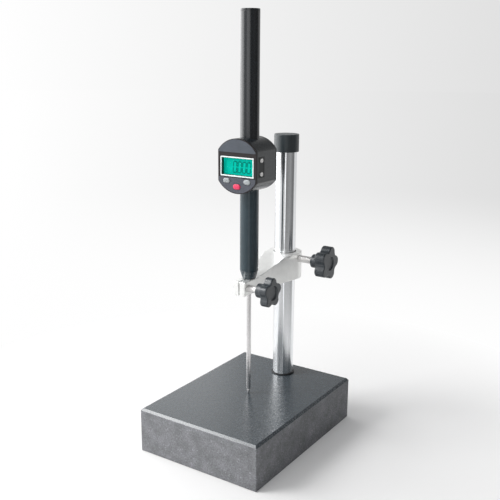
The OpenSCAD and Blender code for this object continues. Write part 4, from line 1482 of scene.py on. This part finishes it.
@dataclass
class Studio:
    """The floor, the light, the walls that only reflections show, and the camera, in metres."""

    focal_px: float = 763.74
    image_px: float = 500.0
    eye: Triple = (0.44142, -0.66514, 0.41961)
    yaw_deg: float = 33.588
    pitch_deg: float = 14.291
    roll_deg: float = 0.306
    across: Triple = (0.84, 0.54, 0.0)
    side_fall: float = 0.31
    sky_limits: Pair = (-0.32, 0.45)
    ceiling_limits: Pair = (0.3, 0.62)
    ceiling_tone: float = 0.1
    sky_light: Colour = (0.95, 0.97, 1.0)
    sky_strength: float = 0.24
    floor_radius: float = 9.0
    floor_colour: Colour = (0.88, 0.875, 0.87)
    floor_limits: Pair = (-0.291, 0.409)
    floor_depth: float = 0.9
    far_limits: Pair = (0.3, 1.8)
    glow_limits: Pair = (0.18, 0.45)
    glow_share: float = 0.1

    def build(self) -> None:
        """Set the stage."""
        self.camera()
        self.world()
        self.floor()
        self.lamps()
        self.surround()
        bpy.context.scene.view_settings.view_transform = "Standard"

    def camera(self) -> None:
        """Stand the camera where the photograph was taken from."""
        data = bpy.data.cameras.new("camera")
        data.sensor_width = 36.0
        data.lens = self.focal_px / self.image_px * data.sensor_width
        data.clip_start, data.clip_end = 0.01, 50.0
        yaw, pitch, roll = (math.radians(a) for a in (self.yaw_deg, self.pitch_deg, self.roll_deg))
        back = Vector((math.sin(yaw) * math.cos(pitch), -math.cos(yaw) * math.cos(pitch), math.sin(pitch)))
        right = Vector((0, 0, 1)).cross(back).normalized()
        up = back.cross(right)
        side = right * math.cos(roll) + up * math.sin(roll)
        top = up * math.cos(roll) - right * math.sin(roll)
        eye = in_scene("camera", data)
        eye.matrix_world = Matrix.Translation(self.eye) @ Matrix((side, top, back)).transposed().to_4x4()
        bpy.context.scene.camera = eye

    def world(self) -> None:
        """Surround the scene with a white backdrop that greys to the right, under a dark ceiling.

        Camera, glossy and transmission rays see the backdrop; other rays see a plainer, dimmer light.
        """
        world = bpy.data.worlds.new("backdrop")
        bpy.context.scene.world = world
        graph = Graph(world)
        graph.tree.nodes.clear()
        place = graph.node("ShaderNodeTexCoord", {}).outputs["Generated"]
        fade = graph.spread(graph.across(place, self.across), 1.0, 1 - self.side_fall, *self.sky_limits)
        rise = graph.node("ShaderNodeSeparateXYZ", {0: place}).outputs[2]
        ceiling = graph.spread(rise, 1.0, self.ceiling_tone, *self.ceiling_limits, "SMOOTHSTEP")
        level = graph.reckon("MULTIPLY", fade, ceiling)
        seen = graph.node("ShaderNodeBackground", {"Color": level, "Strength": 1.0})
        inputs = {"Color": (*self.sky_light, 1), "Strength": self.sky_strength}
        lit = graph.node("ShaderNodeBackground", inputs)
        mix = graph.node("ShaderNodeMixShader", {0: graph.seen(), 1: lit.outputs[0], 2: seen.outputs[0]})
        graph.node("ShaderNodeOutputWorld", {"Surface": mix.outputs[0]})

    def floor(self) -> None:
        """Lay a pale floor: rings of growing radius, whose far part fades into the backdrop."""
        radii = self.floor_radius * np.linspace(0.02, 1, 40) ** 2
        rings = rings_at([circle(r, steps=96) for r in radii], np.zeros(len(radii)))
        mesh = Surface.skin(rings[::-1] / MM, False, True).mesh("floor")
        floor = in_scene("floor", mesh)
        graph = Graph(bpy.data.materials.new("floor_pale"))
        graph.set(Base_Color=(*self.floor_colour, 1), Roughness=0.9, Specular_IOR_Level=0.1)
        place = graph.place()
        reach = graph.node("ShaderNodeVectorMath", {0: place}, operation="LENGTH").outputs["Value"]
        wider = graph.reckon("ADD", reach, self.floor_depth)
        side = graph.reckon("DIVIDE", graph.across(place, self.across), wider)
        far = graph.spread(reach, 0.0, 1.0, *self.far_limits, "SMOOTHSTEP")
        fall = graph.reckon("MULTIPLY", graph.spread(side, 0.0, self.side_fall, *self.floor_limits), far)
        shade = graph.reckon("SUBTRACT", 1.0, fall)
        glow = graph.node("ShaderNodeEmission", {"Color": shade, "Strength": 1.0}).outputs[0]
        outer = graph.spread(reach, self.glow_share, 1.0, *self.glow_limits)
        share = graph.reckon("MULTIPLY", graph.seen(), outer)
        mix = graph.node("ShaderNodeMixShader", {0: share, 1: graph.shader.outputs[0], 2: glow}).outputs[0]
        graph.tree.links.new(mix, graph.tree.nodes["Material Output"].inputs["Surface"])
        mesh.materials.append(graph.owner)

    def lamps(self) -> None:
        """Hang the soft lamps: a window at the left, a key over it, and weaker ones about the part."""
        aim = Vector((0.0, 0.0, 0.2))
        for name, place, size, watts, mirrored in (
            ("window_lamp", (-1.55, -0.3, 0.7), (2.2, 1.3), 26.0, True),
            ("rear_lamp", (-1.28, 0.97, 0.8), (1.0, 0.9), 2.9, True),
            ("key_lamp", (-1.0, -0.93, 1.35), (0.75, 0.75), 23.0, True),
            ("front_lamp", (-0.3, -1.7, 0.9), (1.0, 1.0), 6.0, False),
            ("top_lamp", (-0.1, 0.1, 2.0), (1.6, 1.6), 6.0, False),
        ):
            data = bpy.data.lights.new(name, "AREA")
            data.shape, data.size, data.size_y, data.energy = "RECTANGLE", *size, watts
            lamp = in_scene(name, data)
            turn = (Vector(place) - aim).to_track_quat("Z", "Y").to_matrix().to_4x4()
            lamp.matrix_world = Matrix.Translation(place) @ turn
            lamp.visible_camera, lamp.visible_glossy = False, mirrored

    def surround(self) -> None:
        """Stand two grey walls that only reflections see: a tall one round the front, a low one behind."""
        bearing = np.linspace(-68, 104, 187)
        marks = [-68, -34, -17, -11, -8, -2, 1, 10, 30, 52, 80, 96, 104]
        tones = [0.92, 0.6, 0.45, 0.4, 1.5, 1.5, 0.2, 0.2, 0.25, 0.3, 0.17, 0.17, 0.8]
        tone = np.interp(bearing, marks, tones)
        upper = tone + np.interp(bearing, [-44, -36, -12, -8], [0.0, 1.4, 1.4, 0.0])
        near = 0.7 + np.interp(bearing, [-6, -4, 1, 3], [0.0, 0.8, 0.8, 0.0])
        far = 0.35 + 0.3 * tone + np.interp(bearing, [-9.5, -8, -2, -0.5], [0.0, 0.8, 0.8, 0.0])
        rows = [(0.28, 0.002), (0.6, 0.002), (0.62, 0.04), (0.62, 0.25), (0.62, 0.31), (0.62, 1.3)]
        self.wall("front_wall", bearing, rows, [near, far, tone, tone, upper, upper])
        bearing = np.linspace(146, 208, 125)
        marks = [146, 150, 163, 167, 193, 196, 204, 208]
        tone = np.interp(bearing, marks, [0.88, 0.2, 0.3, 0.9, 0.9, 0.3, 0.2, 0.88])
        light = np.full(len(bearing), 0.88)
        rows = [(0.28, 0.002), (0.6, 0.002), (0.62, 0.03), (0.62, 0.08), (0.62, 0.16)]
        self.wall("back_wall", bearing, rows, [light, 0.3 + 0.6 * tone, tone, tone, light])

    def wall(self, name: str, bearing: Array, rows: list[Pair], shades: list[Array]) -> None:
        """Stand one wall, part of a cylinder on a flat apron, whose tone is kept in a colour attribute.

        Args:
            name: Name of the wall.
            bearing: Bearings of its points from the camera's, in degrees.
            rows: Radius and level of each row of points.
            shades: Tone of each row's points.
        """
        steps, turn = len(bearing), np.radians(self.yaw_deg + bearing)
        foot = np.stack([np.sin(turn), -np.cos(turn)], -1)
        points = np.concatenate([np.column_stack([foot * r, np.full(steps, z)]) for r, z in rows])
        low = np.concatenate([np.arange(steps - 1) + row * steps for row in range(len(rows) - 1)])
        faces = np.stack([low, low + 1, low + 1 + steps, low + steps], -1)
        mesh = bpy.data.meshes.new(name)
        mesh.from_pydata(points.tolist(), [], faces.tolist())
        tints = np.ones((len(points), 4), np.float32)
        tints[:, :3] = np.concatenate(shades)[:, None]
        mesh.attributes.new("tone", "FLOAT_COLOR", "POINT").data.foreach_set("color", tints.ravel())
        wall = in_scene(name, mesh)
        graph = Graph(bpy.data.materials.new(f"{name}_grey"))
        graph.set(Base_Color=(0, 0, 0, 1), Roughness=1.0, Specular_IOR_Level=0.0, Emission_Strength=1.0)
        tone = graph.node("ShaderNodeAttribute", {}, attribute_name="tone").outputs["Color"]
        graph.link(tone, "Emission Color")
        mesh.materials.append(graph.owner)
        wall.visible_camera = wall.visible_diffuse = wall.visible_shadow = wall.visible_transmission = False


def dress_frame() -> None:
    """Give each CAD node that still shows the finish of its slot in the record."""
    for part in frame["record"]["subparts"]:
        node = frame["nodes"][part["node"]]
        if not node.hide_render:
            node.data.materials.clear()
            node.data.materials.append(FINISHES[part["material_slot"]].material())
            LOG.info("%s: carried over as %s", part["node"], part["material_slot"])


def main() -> None:
    """Build the sub-assemblies in order, dress the rest of the frame and set the stage."""
    logging.basicConfig(level=logging.INFO, format="%(name)s %(message)s")
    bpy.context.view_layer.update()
    assemblies = [
        GraniteStand(),
        ClampArm(),
        ClampScrew("front_screw", Clamp.FRONT, lobe=11.0, turn_deg=-58.0, dia=32.5, hub_length=9.5),
        ClampScrew("rear_screw", Clamp.REAR, lobe=13.0, turn_deg=-71.0, dia=38.0, hub_length=10.5),
        IndicatorTubes(),
        Head(),
        Display(),
        KeyButton("left_button"),
        KeyButton("right_button"),
        KeyButton("red_button", KEY_RED),
        DataPort(),
        MeasuringSpindle(),
    ]
    for assembly in assemblies:
        assembly.build()
    dress_frame()
    Studio().build()


if __name__ == "__main__":
    main()
